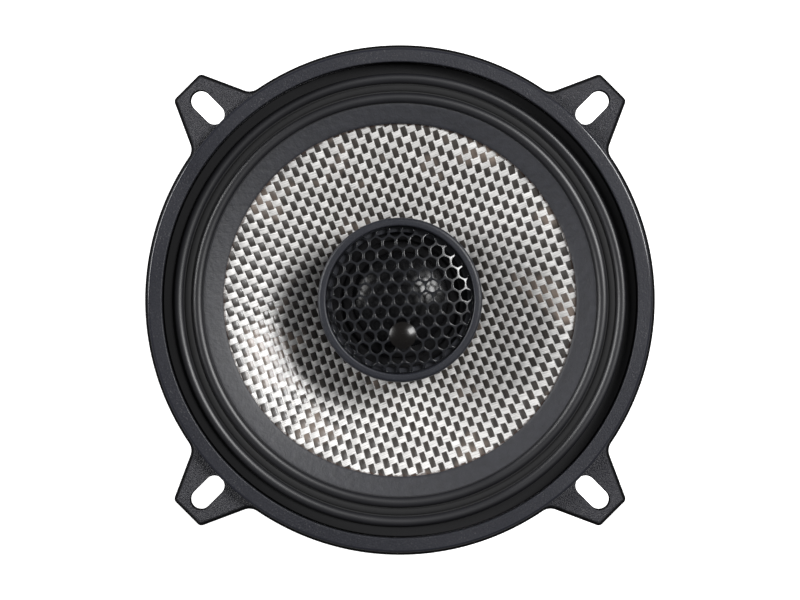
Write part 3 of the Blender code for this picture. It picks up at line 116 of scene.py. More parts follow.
class SpeakerSizes(bpy.types.PropertyGroup):
    """Sizes of the finished pieces that the frame's boxes don't give."""

    facets: bpy.props.IntProperty(
        name="Facets", description="Facets round a large turned piece", default=256, min=64)
    flange_edge: bpy.props.FloatProperty(
        name="Flange edge", description="Width of the bevel on the flange's front edge",
        default=0.0014, unit="LENGTH")
    flange_drop: bpy.props.FloatProperty(
        name="Flange drop", description="Height of the bevel on the flange's front edge",
        default=0.0030, unit="LENGTH")
    seat_drop: bpy.props.FloatProperty(
        name="Seat drop", description="Surround's seat below the flange's front",
        default=0.0025, unit="LENGTH")
    seat_width: bpy.props.FloatProperty(
        name="Seat width", description="Width of the surround's seat", default=0.0059, unit="LENGTH")
    ear_reach: bpy.props.FloatProperty(
        name="Ear reach", description="From the middle to an ear's flat end", default=0.0786, unit="LENGTH")
    ear_end_half: bpy.props.FloatProperty(
        name="Ear end", description="Half the width of an ear's flat end", default=0.0049, unit="LENGTH")
    ear_flare: bpy.props.FloatProperty(
        name="Ear flare", description="Lean of an ear's sides", default=math.radians(24.4), unit="ROTATION")
    ear_corner: bpy.props.FloatProperty(
        name="Ear corner", description="Rounding of an ear's outer corners", default=0.0014, unit="LENGTH")
    ear_root: bpy.props.FloatProperty(
        name="Ear root", description="Fillet between an ear and the rim", default=0.0036, unit="LENGTH")
    slot_centre: bpy.props.FloatProperty(
        name="Slot centre", description="From the middle to the screw slots", default=0.0708, unit="LENGTH")
    slot_width: bpy.props.FloatProperty(
        name="Slot width", description="Width of the screw slots", default=0.0052, unit="LENGTH")
    slot_length: bpy.props.FloatProperty(
        name="Slot length", description="Length of the screw slots", default=0.0103, unit="LENGTH")
    leg_width: bpy.props.FloatProperty(
        name="Leg width", description="Width of the basket's legs", default=0.0145, unit="LENGTH")
    roll_half: bpy.props.FloatProperty(
        name="Roll half width", description="Half the width of each roll", default=0.00135, unit="LENGTH")
    outer_roll: bpy.props.FloatProperty(
        name="Outer roll", description="Height of the outer roll", default=0.0013, unit="LENGTH")
    inner_roll: bpy.props.FloatProperty(
        name="Inner roll", description="Height of the inner roll", default=0.0012, unit="LENGTH")
    ridge_half: bpy.props.FloatProperty(
        name="Ridge half width", description="Half the width of the ridge between the rolls",
        default=0.00085, unit="LENGTH")
    ridge: bpy.props.FloatProperty(
        name="Ridge", description="Height of the ridge between the rolls", default=0.0003, unit="LENGTH")
    glue_lip: bpy.props.FloatProperty(
        name="Glue lip", description="Width of the lip glued to the cone", default=0.0050, unit="LENGTH")
    cone_curve: bpy.props.FloatProperty(
        name="Cone curve", description="0 is a straight cone, more is flatter at the rim",
        default=0.35, subtype="FACTOR")
    weave_pitch: bpy.props.FloatProperty(
        name="Weave pitch", description="From thread to thread of the cone's cloth",
        default=0.00194, unit="LENGTH")
    weave_turn: bpy.props.FloatProperty(
        name="Weave turn", description="Lean of the pale threads", default=math.radians(20), unit="ROTATION")
    weave_drape: bpy.props.FloatProperty(
        name="Weave drape", description="Crowding of the threads towards the cone's neck",
        default=0.15, subtype="FACTOR")
    weft_width: bpy.props.FloatProperty(
        name="Weft width", description="Width of a pale thread in pitches", default=0.82, subtype="FACTOR")
    warp_width: bpy.props.FloatProperty(
        name="Warp width", description="Width of a dark thread in pitches", default=0.74, subtype="FACTOR")
    weave_relief: bpy.props.FloatProperty(
        name="Weave relief", description="Rise and fall of the threads", default=0.00007, unit="LENGTH")
    spider_waves: bpy.props.IntProperty(
        name="Spider waves", description="Waves across the spider", default=4)
    hex_pitch: bpy.props.FloatProperty(
        name="Hexagon pitch", description="From hole to hole of the grille", default=0.00345, unit="LENGTH")
    hex_web: bpy.props.FloatProperty(
        name="Hexagon web", description="Metal between two holes of the grille",
        default=0.00060, unit="LENGTH")
    hex_turn: bpy.props.FloatProperty(
        name="Hexagon turn", description="Turn of the grille's pattern",
        default=math.radians(4), unit="ROTATION")
    grille_rise: bpy.props.FloatProperty(
        name="Grille rise", description="Height of the grille's dome", default=0.0019, unit="LENGTH")


def colour_property(name, description, colour):
    return bpy.props.FloatVectorProperty(
        name=name, description=description, default=colour, subtype="COLOR", size=3, min=0.0, max=1.0)


class SpeakerColours(bpy.types.PropertyGroup):
    """Main colour of each finish."""

    paint: colour_property("Paint", "Wrinkle paint of the basket", (0.015, 0.015, 0.019))
    trim: colour_property("Trim", "Rubber of the trim ring", (0.013, 0.0135, 0.018))
    rubber: colour_property("Rubber", "Rubber of the surround", (0.009, 0.009, 0.0115))
    glue: colour_property("Glue lip", "Surround's lip on the cone", (0.0135, 0.014, 0.019))
    weft: colour_property("Weft", "Pale threads of the cone", (0.90, 0.885, 0.865))
    warp: colour_property("Warp", "Dark threads of the cone", (0.030, 0.026, 0.023))
    # Pale colour laid in patches on the dark threads of the cone as painted sheen.
    warp_sheen: colour_property("Resin", "Pale resin over some of the dark threads", (0.42, 0.33, 0.27))
    plastic: colour_property("Plastic", "Plastic of the pod and the bezel", (0.014, 0.015, 0.020))
    mesh: colour_property("Mesh", "Lacquered steel of the grille", (0.009, 0.0095, 0.012))
    badge: colour_property("Badge", "Gloss of the badge", (0.006, 0.005, 0.0045))
    dome: colour_property("Dome", "Coated cloth of the dome", (0.007, 0.007, 0.008))
    spider: colour_property("Spider", "Impregnated cloth of the spider", (0.50, 0.36, 0.13))
    zinc: colour_property("Zinc", "Plated steel", (0.62, 0.62, 0.60))
    ferrite: colour_property("Ferrite", "Magnet", (0.050, 0.050, 0.054))
    copper: colour_property("Copper", "Windings and leads", (0.72, 0.36, 0.20))
    sleeve: colour_property("Sleeve", "Capacitor's sleeve", (0.02, 0.06, 0.24))


# ---------------------------------------------------------------- shapes

def object_from(bm, name, recalculate=True):
    bmesh.ops.remove_doubles(bm, verts=bm.verts, dist=MERGE)
    if recalculate:
        bmesh.ops.recalc_face_normals(bm, faces=bm.faces)
    mesh = bpy.data.meshes.new(name)
    bm.to_mesh(mesh)
    bm.free()
    mesh.shade_smooth()
    mesh.set_sharp_from_angle(angle=SHARP)
    obj = bpy.data.objects.new(name, mesh)
    bpy.context.scene.collection.objects.link(obj)
    return obj


def rounded(corners, steps=4, closed=True):
    """An outline with its corners rounded: a corner is (x, y) or (x, y, radius of its rounding)."""
    points = []
    count = len(corners)
    for i, corner in enumerate(corners):
        here = Vector(corner[:2])
        radius = corner[2] if len(corner) > 2 else 0
        if not radius or (not closed and i in (0, count - 1)):
            points.append(tuple(here))
            continue
        before = Vector(corners[i - 1][:2]) - here
        after = Vector(corners[(i + 1) % count][:2]) - here
        opening = before.angle(after)
        reach = radius / math.tan(opening / 2)
        into = min(reach, 0.45 * before.length)
        out = min(reach, 0.45 * after.length)
        first = here + before.normalized() * into
        last = here + after.normalized() * out
        points.append(tuple(first + before.normalized() * min(0.25 * into, 0.05 * before.length)))
        for k in range(steps + 1):
            t = k / steps
            points.append(tuple((1 - t) ** 2 * first + 2 * t * (1 - t) * here + t ** 2 * last))
        points.append(tuple(last + after.normalized() * min(0.25 * out, 0.05 * after.length)))
    return points


def lathe(name, profile, facets, centre=(0.0, 0.0)):
    """Turns a closed profile of (radius, height) points about an upright axis."""
    bm = bmesh.new()
    turns = [2 * math.pi * i / facets for i in range(facets)]
    rings = []
    for radius, height in profile:
        if radius < MERGE:
            rings.append([bm.verts.new((centre[0], centre[1], height))] * facets)
            continue
        spots = ((centre[0] + radius * math.cos(a), centre[1] + radius * math.sin(a), height) for a in turns)
        rings.append([bm.verts.new(spot) for spot in spots])
    for lower, upper in zip(rings, rings[1:] + rings[:1]):
        for i in range(facets):
            j = (i + 1) % facets
            corners = list(dict.fromkeys((lower[i], lower[j], upper[j], upper[i])))
            if len(corners) > 2:
                bm.faces.new(corners)
    return object_from(bm, name)


def plug(radius, low, high):
    """Profile of a solid cylinder, such as a drill."""
    return [(0, low), (radius, low), (radius, high), (0, high)]


def ring(inner, outer, low, high, edges, steps=4):
    """Profile of a flat ring, its corners rounded from the inner lower one round to the inner upper one."""
    corners = ((inner, low), (outer, low), (outer, high), (inner, high))
    return rounded([(*corner, edge) for corner, edge in zip(corners, edges)], steps)


def shell(under, thickness):
    """A closed profile from an underside and its thickness."""
    return under + [(r, z + thickness) for r, z in reversed(under)]


def shrunk(outline, inset):
    """A counter-clockwise outline moved inwards, each point along the middle of its two sides."""
    points = [Vector(p) for p in outline]
    moved = []
    for before, here, after in zip([points[-1]] + points[:-1], points, points[1:] + points[:1]):
        way = (here - before).normalized() + (after - here).normalized()
        way.normalize()
        moved.append(tuple(here + Vector((-way.y, way.x)) * inset))
    return moved


def slab(name, outline, low, high, edge, place=None, back_edge=None, steps=4, deep=None):
    """A plate cut to an outline, with rounded edges. place turns (x, y, height) into a point."""
    place = place or (lambda x, y, h: (x, y, h))
    deep = deep or edge
    back_edge = edge if back_edge is None else back_edge
    quarter = [math.pi / 2 * k / steps for k in range(steps + 1)]
    levels = [(low + back_edge * (1 - math.cos(a)), back_edge * (1 - math.sin(a))) for a in quarter]
    levels += [(high - deep * (1 - math.sin(a)), edge * (1 - math.cos(a))) for a in quarter]
    bm = bmesh.new()
    rings = []
    for level, inset in levels:
        rings.append([bm.verts.new(place(x, y, level)) for x, y in shrunk(outline, inset)])
    count = len(outline)
    for lower, upper in zip(rings, rings[1:]):
        for i in range(count):
            j = (i + 1) % count
            bm.faces.new((lower[i], lower[j], upper[j], upper[i]))
    bm.faces.new(rings[0])
    bm.faces.new(rings[-1])
    return object_from(bm, name)


def arc(centre, radius, start, end, count):
    turns = (start + (end - start) * i / (count - 1) for i in range(count))
    return [(centre[0] + radius * math.cos(a), centre[1] + radius * math.sin(a)) for a in turns]


def turned_by(points, angle):
    c, s = math.cos(angle), math.sin(angle)
    return [(c * x - s * y, s * x + c * y) for x, y in points]


def rectangle(x0, x1, y0, y1, corner=0.0):
    return rounded([(x0, y0, corner), (x1, y0, corner), (x1, y1, corner), (x0, y1, corner)])


def settled(obj):
    """The object with its modifiers made part of its mesh."""
    evaluated = obj.evaluated_get(bpy.context.evaluated_depsgraph_get())
    mesh = bpy.data.meshes.new_from_object(evaluated)
    obj.modifiers.clear()
    old = obj.data
    obj.data = mesh
    mesh.name = obj.name
    if isinstance(old, bpy.types.Mesh):
        bpy.data.meshes.remove(old)
    return obj


def boolean(target, tools, operation):
    """Joins tools to a piece, or cuts them out of it, all at once."""
    group = bpy.data.collections.new(f"{target.name}_{operation.lower()}")
    for tool in tools:
        group.objects.link(tool)
    change = target.modifiers.new(operation.title(), "BOOLEAN")
    change.operation = operation
    change.solver = "EXACT"
    change.operand_type = "COLLECTION"
    change.collection = group
    bpy.context.view_layer.update()
    settled(target)
    for tool in tools:
        bpy.data.objects.remove(tool)
    bpy.data.collections.remove(group)
    target.data.shade_smooth()
    target.data.set_sharp_from_angle(angle=SHARP)
    return target


def evened(obj):
    """Shades flat faces flat where they meet small rounded ones."""
    change = obj.modifiers.new("Even normals", "WEIGHTED_NORMAL")
    change.keep_sharp = True
    return settled(obj)


def copy_of(node):
    """A CAD node's mesh as a piece of its own, with its points joined."""
    bm = bmesh.new()
    bm.from_mesh(frame["nodes"][node].data)
    piece = object_from(bm, f"{node}_finished", recalculate=False)
    return piece


def put(piece, body, slot, *nodes, looks=None):
    """The piece rides on a body, in the finish of its slot, and stands for the CAD nodes."""
    piece.data.materials.clear()
    piece.data.materials.append(finish(looks or slot))
    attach(piece, body)
    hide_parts(*nodes)
    return piece


def put_between(piece, outer_body, inner_body, outer_radius, inner_radius, slot, *nodes, looks=None):
    """Gives the piece the finish of its slot and hides the CAD nodes that it stands for."""
    piece.data.materials.clear()
    piece.data.materials.append(finish(looks or slot))
    places = [v.co.copy() for v in piece.data.vertices]
    for vertex, place in zip(piece.data.vertices, places):
        vertex.co = (math.hypot(place.x, place.y), 0, 0)
    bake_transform(piece)
    for vertex, place in zip(piece.data.vertices, places):
        vertex.co = place
    piece.data.update()
    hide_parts(*nodes)
    return piece


# ---------------------------------------------------------------- node trees

class Nodes:
    """Adds nodes to a tree and wires them from left to right."""

    def __init__(self, tree):
        self.tree = tree

    def add(self, kind, inputs=(), **settings):
        node = self.tree.nodes.new(kind)
        for key, value in settings.items():
            setattr(node, key, value)
        pairs = inputs.items() if isinstance(inputs, dict) else enumerate(inputs)
        for key, value in pairs:
            if value is not None:
                self.feed(node.inputs[key], value)
        place = len(self.tree.nodes)
        node.location = (place % 12 * 190, -(place // 12) * 260)
        return node

    def feed(self, socket, value):
        if isinstance(value, bpy.types.NodeSocket):
            self.tree.links.new(value, socket)
        else:
            socket.default_value = value

    def math(self, operation, *values):
        return self.add("ShaderNodeMath", values, operation=operation).outputs[0]

    def mix(self, share, a, b):
        """Blends two colours."""
        node = self.add("ShaderNodeMix", data_type="RGBA")
        for index, value in ((0, share), (6, a), (7, b)):
            self.feed(node.inputs[index], rgba(value) if index else value)
        return node.outputs[2]

    def between(self, value, low, high, to_low=0.0, to_high=1.0):
        """A value's place between two limits, as a number between two others."""
        return self.add("ShaderNodeMapRange", (value, low, high, to_low, to_high)).outputs[0]

    def noise(self, vector, scale, detail=2.0, roughness=0.5):
        node = self.add("ShaderNodeTexNoise",
                        {"Vector": vector, "Scale": scale, "Detail": detail, "Roughness": roughness})
        return node.outputs["Fac"]


def rgba(value):
    if isinstance(value, bpy.types.NodeSocket):
        return value
    return (*value[:3], 1.0)


def new_group(name, kind, inputs, outputs):
    """A node group with its sockets, and the sockets' ends inside it."""
    tree = bpy.data.node_groups.new(name, kind)
    for label, socket_kind, default in inputs:
        socket = tree.interface.new_socket(label, in_out="INPUT", socket_type=socket_kind)
        if default is not None:
            socket.default_value = default
    for label, socket_kind in outputs:
        tree.interface.new_socket(label, in_out="OUTPUT", socket_type=socket_kind)
    nodes = Nodes(tree)
    start = nodes.add("NodeGroupInput")
    end = nodes.add("NodeGroupOutput")
    return nodes, start.outputs, end.inputs


def group(name, build):
    """The node group of that name, built the first time it is asked for."""
    return bpy.data.node_groups.get(name) or build(name)


def reach_of(n, place):
    """Distance of a place from the upright axis."""
    flat = n.add("ShaderNodeVectorMath", (place, (1.0, 1.0, 0.0)), operation="MULTIPLY").outputs[0]
    return n.add("ShaderNodeVectorMath", (flat,), operation="LENGTH").outputs["Value"]


def lean_of(n):
    """1 on a face that looks up, 0 on an upright one."""
    normal = n.add("ShaderNodeNewGeometry").outputs["Normal"]
    return n.add("ShaderNodeSeparateXYZ", (normal,)).outputs[2]


def scaled(n, vector, factor):
    node = n.add("ShaderNodeVectorMath", operation="SCALE")
    n.feed(node.inputs[0], vector)
    n.feed(node.inputs["Scale"], factor)
    return node.outputs[0]


def weave_values(n, u, v, weft, warp):
    """Sockets of a plain weave: height from -1 to 1, pale thread on top, and how far across it.

    u runs along the pale threads and v along the dark ones, both counted in pitches.
    """
    in_u = n.math("SUBTRACT", n.math("FRACT", u), 0.5)
    in_v = n.math("SUBTRACT", n.math("FRACT", v), 0.5)
    cells = n.math("ADD", n.math("FLOOR", u), n.math("FLOOR", v))
    odd = n.math("FLOORED_MODULO", cells, 2.0)
    sign = n.math("SUBTRACT", 1.0, n.math("MULTIPLY", 2.0, odd))
    weft_lift = n.math("MULTIPLY", sign, n.math("COSINE", n.math("MULTIPLY", in_u, math.pi)))
    warp_lift = n.math("MULTIPLY", sign, n.math("COSINE", n.math("MULTIPLY", in_v, math.pi)))
    weft_side = n.math("DIVIDE", n.math("MULTIPLY", n.math("ABSOLUTE", in_v), 2.0), weft)
    warp_side = n.math("DIVIDE", n.math("MULTIPLY", n.math("ABSOLUTE", in_u), 2.0), warp)
    weft_round = n.math("SUBTRACT", 1.0, n.math("POWER", weft_side, 8.0))
    warp_round = n.math("SUBTRACT", 1.0, n.math("POWER", warp_side, 8.0))
    weft_high = n.math("ADD", n.math("MULTIPLY", weft_lift, 0.5), n.math("MULTIPLY", weft_round, 0.5))
    warp_high = n.math("ADD", n.math("MULTIPLY", warp_lift, -0.5), n.math("MULTIPLY", warp_round, 0.5))
    weft_high = n.math("MAXIMUM", weft_high, -1.0)
    warp_high = n.math("MAXIMUM", n.math("ADD", warp_high, 0.32), -1.0)
    height = n.math("MAXIMUM", weft_high, warp_high)
    on_top = n.between(n.math("SUBTRACT", weft_high, warp_high), -0.06, 0.06)
    return height, on_top, weft_side, warp_side


def draped(n, place, drape):
    """Cloth coordinates that crowd towards the middle, as cloth pressed into a cone does."""
    inwards = n.math("SUBTRACT", 1.0, n.math("DIVIDE", reach_of(n, place), CONE_RADIUS))
    return scaled(n, place, n.math("ADD", 1.0, n.math("MULTIPLY", inwards, drape)))


def thread_places(n, place, given):
    """Counts of pale and dark threads at a place, with the cloth's slow wander."""
    cloth = draped(n, place, given["Drape"])
    angle = n.math("MULTIPLY", given["Turn"], -1.0)
    turned = n.add("ShaderNodeVectorRotate", {"Vector": cloth, "Angle": angle},
                   rotation_type="Z_AXIS").outputs[0]
    wander = n.between(n.noise(turned, 60.0, 1.0), 0.3, 0.7, -0.07, 0.07)
    parts = n.add("ShaderNodeSeparateXYZ", (turned,)).outputs
    u = n.math("ADD", n.math("DIVIDE", parts[0], given["Pitch"]), wander)
    v = n.math("SUBTRACT", n.math("DIVIDE", parts[1], given["Pitch"]), wander)
    return u, v


def build_weave_group(name):
    """Plain weave over Object coordinates: colour masks and height."""
    inputs = [("Vector", "NodeSocketVector", None), ("Pitch", "NodeSocketFloat", 0.002),
              ("Turn", "NodeSocketFloat", 0.0), ("Weft Width", "NodeSocketFloat", 0.74),
              ("Warp Width", "NodeSocketFloat", 0.66), ("Drape", "NodeSocketFloat", 0.0)]
    outputs = [("Height", "NodeSocketFloat"), ("Weft", "NodeSocketFloat"), ("Fibres", "NodeSocketFloat"),
               ("Thread Tint", "NodeSocketFloat"), ("Hole", "NodeSocketFloat")]
    n, given, out = new_group(name, "ShaderNodeTree", inputs, outputs)
    u, v = thread_places(n, given["Vector"], given)
    height, on_top, weft_side, warp_side = weave_values(n, u, v, given["Weft Width"], given["Warp Width"])

    fibre = []
    for along_u, along_v in ((0.5, 11.0), (11.0, 0.5)):
        drawn = (n.math("MULTIPLY", u, along_u), n.math("MULTIPLY", v, along_v))
        fibre.append(n.noise(n.add("ShaderNodeCombineXYZ", drawn).outputs[0], 1.0, 2.0, 0.6))
    weft_fibres, warp_fibres = fibre
    fibres = n.add("ShaderNodeMix", (on_top, None, warp_fibres, weft_fibres), data_type="FLOAT").outputs[0]

    seed = n.add("ShaderNodeCombineXYZ", (n.math("FLOOR", u), n.math("FLOOR", v))).outputs[0]
    tint = n.add("ShaderNodeTexWhiteNoise", (seed,), noise_dimensions="2D").outputs[0]
    bare = n.math("MULTIPLY", n.between(weft_side, 0.96, 1.04), n.between(warp_side, 0.96, 1.04))

    n.feed(out["Height"], height)
    n.feed(out["Weft"], on_top)
    n.feed(out["Fibres"], fibres)
    n.feed(out["Thread Tint"], tint)
    n.feed(out["Hole"], bare)
    return n.tree


def build_grain_group(name):
    """Cast or painted grain: small round lumps of one size, with finer noise over them."""
    inputs = [("Vector", "NodeSocketVector", None), ("Size", "NodeSocketFloat", 0.0005),
              ("Lumps", "NodeSocketFloat", 0.6)]
    outputs = [("Height", "NodeSocketFloat"), ("Speckle", "NodeSocketFloat"), ("Cloud", "NodeSocketFloat")]
    n, given, out = new_group(name, "ShaderNodeTree", inputs, outputs)
    scale = n.math("DIVIDE", 1.0, given["Size"])
    cells = n.add("ShaderNodeTexVoronoi", {"Vector": given["Vector"], "Scale": scale, "Smoothness": 0.7},
                  feature="SMOOTH_F1").outputs["Distance"]
    fine = n.noise(given["Vector"], n.math("MULTIPLY", scale, 1.7), 3.0, 0.6)
    lumps = n.math("SUBTRACT", 1.0, cells)
    mixed = n.add("ShaderNodeMix", (given["Lumps"], None, fine, lumps), data_type="FLOAT").outputs[0]
    speckle = n.noise(given["Vector"], n.math("MULTIPLY", scale, 0.9), 2.0, 0.7)
    cloud = n.noise(given["Vector"], 35.0, 3.0, 0.6)
    n.feed(out["Height"], mixed)
    n.feed(out["Speckle"], n.between(speckle, 0.35, 0.72))
    n.feed(out["Cloud"], cloud)
    return n.tree


def build_dust_group(name):
    """Faint dust and handling marks, as a mask that is strongest on faces that look up."""
    inputs = [("Vector", "NodeSocketVector", None), ("Amount", "NodeSocketFloat", 0.3)]
    n, given, out = new_group(name, "ShaderNodeTree", inputs, [("Mask", "NodeSocketFloat")])
    specks = n.noise(given["Vector"], 2600.0, 2.0, 0.8)
    patches = n.noise(given["Vector"], 90.0, 3.0, 0.6)
    mask = n.math("MULTIPLY", n.between(specks, 0.60, 0.75), n.between(patches, 0.35, 0.7))
    mask = n.math("MULTIPLY", mask, n.between(lean_of(n), 0.1, 0.9))
    n.feed(out["Mask"], n.math("MULTIPLY", mask, given["Amount"]))
    return n.tree


# ---------------------------------------------------------------- finishes

def new_finish(name, **shader):
    """A material, its nodes, its Principled shader and its Object coordinates."""
    material = bpy.data.materials.new(f"{name}_finish")
    material.use_nodes = True
    n = Nodes(material.node_tree)
    principled = material.node_tree.nodes["Principled BSDF"]
    for key, value in shader.items():
        principled.inputs[key.replace("_", " ")].default_value = value
    coordinates = n.add("ShaderNodeTexCoord").outputs["Object"]
    return material, n, principled.inputs, coordinates


def use_group(n, name, build, **inputs):
    node = n.add("ShaderNodeGroup", node_tree=group(name, build))
    for key, value in inputs.items():
        n.feed(node.inputs[key.replace("_", " ")], value)
    return node.outputs


def bump(n, height, distance, strength=1.0, under=None):
    values = {"Strength": strength, "Distance": distance, "Height": height, "Normal": under}
    return n.add("ShaderNodeBump", values).outputs[0]


def shaded(colour, factor):
    return tuple(min(1.0, c * factor) for c in colour)


def grained(name, colour, size, relief, roughness, lumps=0.6, contrast=0.5, dust=0.25, polish_and_highlight_from=None,
            painted_shade_on_sides=False, **shader):
    """A grained finish: paint, rubber, plastic, foam, felt or ferrite.

    Beyond the given radius it is polished and its colour is lifted as a painted highlight, and the option for
    steep faces paints shade on them: darker colour, with Metallic and roughness raised.
    """
    material, n, ends, place = new_finish(name, **shader)
    grain = use_group(n, "Grain", build_grain_group, Vector=place, Size=size, Lumps=lumps)
    dusty = use_group(n, "Dust", build_dust_group, Vector=place, Amount=dust)
    clouded = n.mix(n.between(grain["Cloud"], 0.3, 0.7), shaded(colour, 0.88), shaded(colour, 1.12))
    speckled = n.mix(n.math("MULTIPLY", grain["Speckle"], contrast), clouded, shaded(colour, 2.4))
    toned = n.mix(dusty["Mask"], speckled, (0.30, 0.29, 0.28))
    rough = n.between(grain["Cloud"], 0.25, 0.75, roughness - 0.06, roughness + 0.06)
    relieved = grain["Height"]
    if polish_and_highlight_from:
        # Painted highlight: beyond this radius the colour is lifted as a painted highlight on the outer edge,
        # while lower roughness and a gentler bump polish it.
        polish_and_highlight = n.between(reach_of(n, place), polish_and_highlight_from, polish_and_highlight_from + 0.0002)
        toned = n.mix(polish_and_highlight, toned, shaded(colour, 1.5))
        rough = n.math("SUBTRACT", rough, n.math("MULTIPLY", polish_and_highlight, 0.26))
        relieved = n.add("ShaderNodeMix", (polish_and_highlight, None, relieved, 0.5), data_type="FLOAT").outputs[0]
    if painted_shade_on_sides:
        # Painted shade: steep faces get a darker colour, and Metallic and roughness that keep them dark.
        steep = n.between(lean_of(n), 0.90, 0.60)
        toned = n.mix(steep, toned, shaded(colour, 0.2))
        rough = n.math("ADD", rough, n.math("MULTIPLY", steep, 0.35))
        n.feed(ends["Metallic"], n.math("MULTIPLY", steep, 0.85))
    n.feed(ends["Base Color"], toned)
    n.feed(ends["Roughness"], rough)
    n.feed(ends["Normal"], bump(n, relieved, relief))
    return material


def brushed(name, colour, roughness, relief, **shader):
    """Plated or drawn metal with fine scratches and a cloudy tarnish."""
    material, n, ends, place = new_finish(name, Metallic=1.0, **shader)
    grain = use_group(n, "Grain", build_grain_group, Vector=place, Size=0.0003, Lumps=0.2)
    stretched = n.add("ShaderNodeMapping", {"Vector": place, "Scale": (1.0, 1.0, 14.0)}).outputs[0]
    lines = n.noise(stretched, 500.0, 2.0, 0.6)
    tarnish = n.between(grain["Cloud"], 0.35, 0.75)
    n.feed(ends["Base Color"], n.mix(n.math("MULTIPLY", tarnish, 0.5), colour, shaded(colour, 0.62)))
    n.feed(ends["Roughness"], n.between(lines, 0.2, 0.8, roughness - 0.08, roughness + 0.12))
    n.feed(ends["Normal"], bump(n, n.math("ADD", lines, grain["Height"]), relief))
    return material


def woven_glass(name, sizes, colours):
    """Pale and dark threads in a plain weave under a clear coat, with pale patches of painted sheen on the
    dark threads.
    """
    material, n, ends, place = new_finish(name, IOR=1.5, Coat_Roughness=0.12)
    cloth = use_group(n, "Weave", build_weave_group, Vector=place, Pitch=sizes.weave_pitch,
                      Turn=sizes.weave_turn, Drape=sizes.weave_drape, Weft_Width=sizes.weft_width,
                      Warp_Width=sizes.warp_width)
    tint = cloth["Thread Tint"]
    weft = n.mix(tint, shaded(colours.weft, 0.80), shaded(colours.weft, 1.06))
    weft = n.mix(n.between(cloth["Fibres"], 0.25, 0.55), shaded(colours.weft, 0.42), weft)
    warp = n.mix(tint, shaded(colours.warp, 0.65), shaded(colours.warp, 1.35))
    warp = n.mix(n.between(cloth["Fibres"], 0.35, 0.75), warp, shaded(colours.warp, 2.3))
    # Painted sheen: pale patches on the dark threads stand in for the gloss that light gives them.
    warp_sheen = n.noise(place, 55.0, 3.0, 0.6)
    warp = n.mix(n.between(warp_sheen, 0.56, 0.70, 0.0, 0.55), warp, colours.warp_sheen)
    threads = n.mix(cloth["Weft"], warp, weft)
    threads = n.mix(cloth["Hole"], threads, shaded(colours.weft, 0.92))
    reach = reach_of(n, place)
    rim = glue_lip_outer(sizes) - sizes.glue_lip
    ragged = n.math("ADD", reach, n.between(n.noise(place, 900.0, 3.0, 0.6), 0.3, 0.7, -0.0003, 0.0003))
    glued = n.between(ragged, rim - 0.0005, rim - 0.0002, 0.0, 0.8)
    n.feed(ends["Base Color"], n.mix(glued, threads, (0.045, 0.022, 0.014)))
    n.feed(ends["Roughness"], n.between(cloth["Fibres"], 0.2, 0.8, 0.34, 0.50))
    n.feed(ends["Metallic"], n.math("MULTIPLY", cloth["Weft"], 0.08))
    n.feed(ends["Coat Weight"], n.between(cloth["Weft"], 0.0, 1.0, 0.55, 0.25))
    low = bump(n, cloth["Height"], 0.00020, 0.8)
    n.feed(ends["Normal"], bump(n, cloth["Fibres"], 0.00006, 0.6, low))
    return material


def cloth_finish(name, colour, pitch, relief, roughness, **shader):
    """Plain cloth of one colour, such as the spider's or the dome's, with painted shade in its low parts and
    in the gaps between threads.
    """
    material, n, ends, place = new_finish(name, **shader)
    cloth = use_group(n, "Weave", build_weave_group, Vector=place, Pitch=pitch, Turn=0.3,
                      Weft_Width=0.85, Warp_Width=0.85)
    grain = use_group(n, "Grain", build_grain_group, Vector=place, Size=0.001, Lumps=0.3)
    # Painted shade: the colour darkens where the weave is low and in the gaps between threads.
    threads = n.mix(n.between(cloth["Height"], -0.6, 0.9), shaded(colour, 0.45), shaded(colour, 1.1))
    threads = n.mix(cloth["Hole"], threads, shaded(colour, 0.3))
    n.feed(ends["Base Color"], n.mix(n.between(grain["Cloud"], 0.35, 0.7, 0.0, 0.35), threads,
                                     shaded(colour, 0.6)))
    n.feed(ends["Roughness"], n.between(cloth["Fibres"], 0.2, 0.8, roughness - 0.07, roughness + 0.07))
    n.feed(ends["Normal"], bump(n, cloth["Height"], relief))
    return material


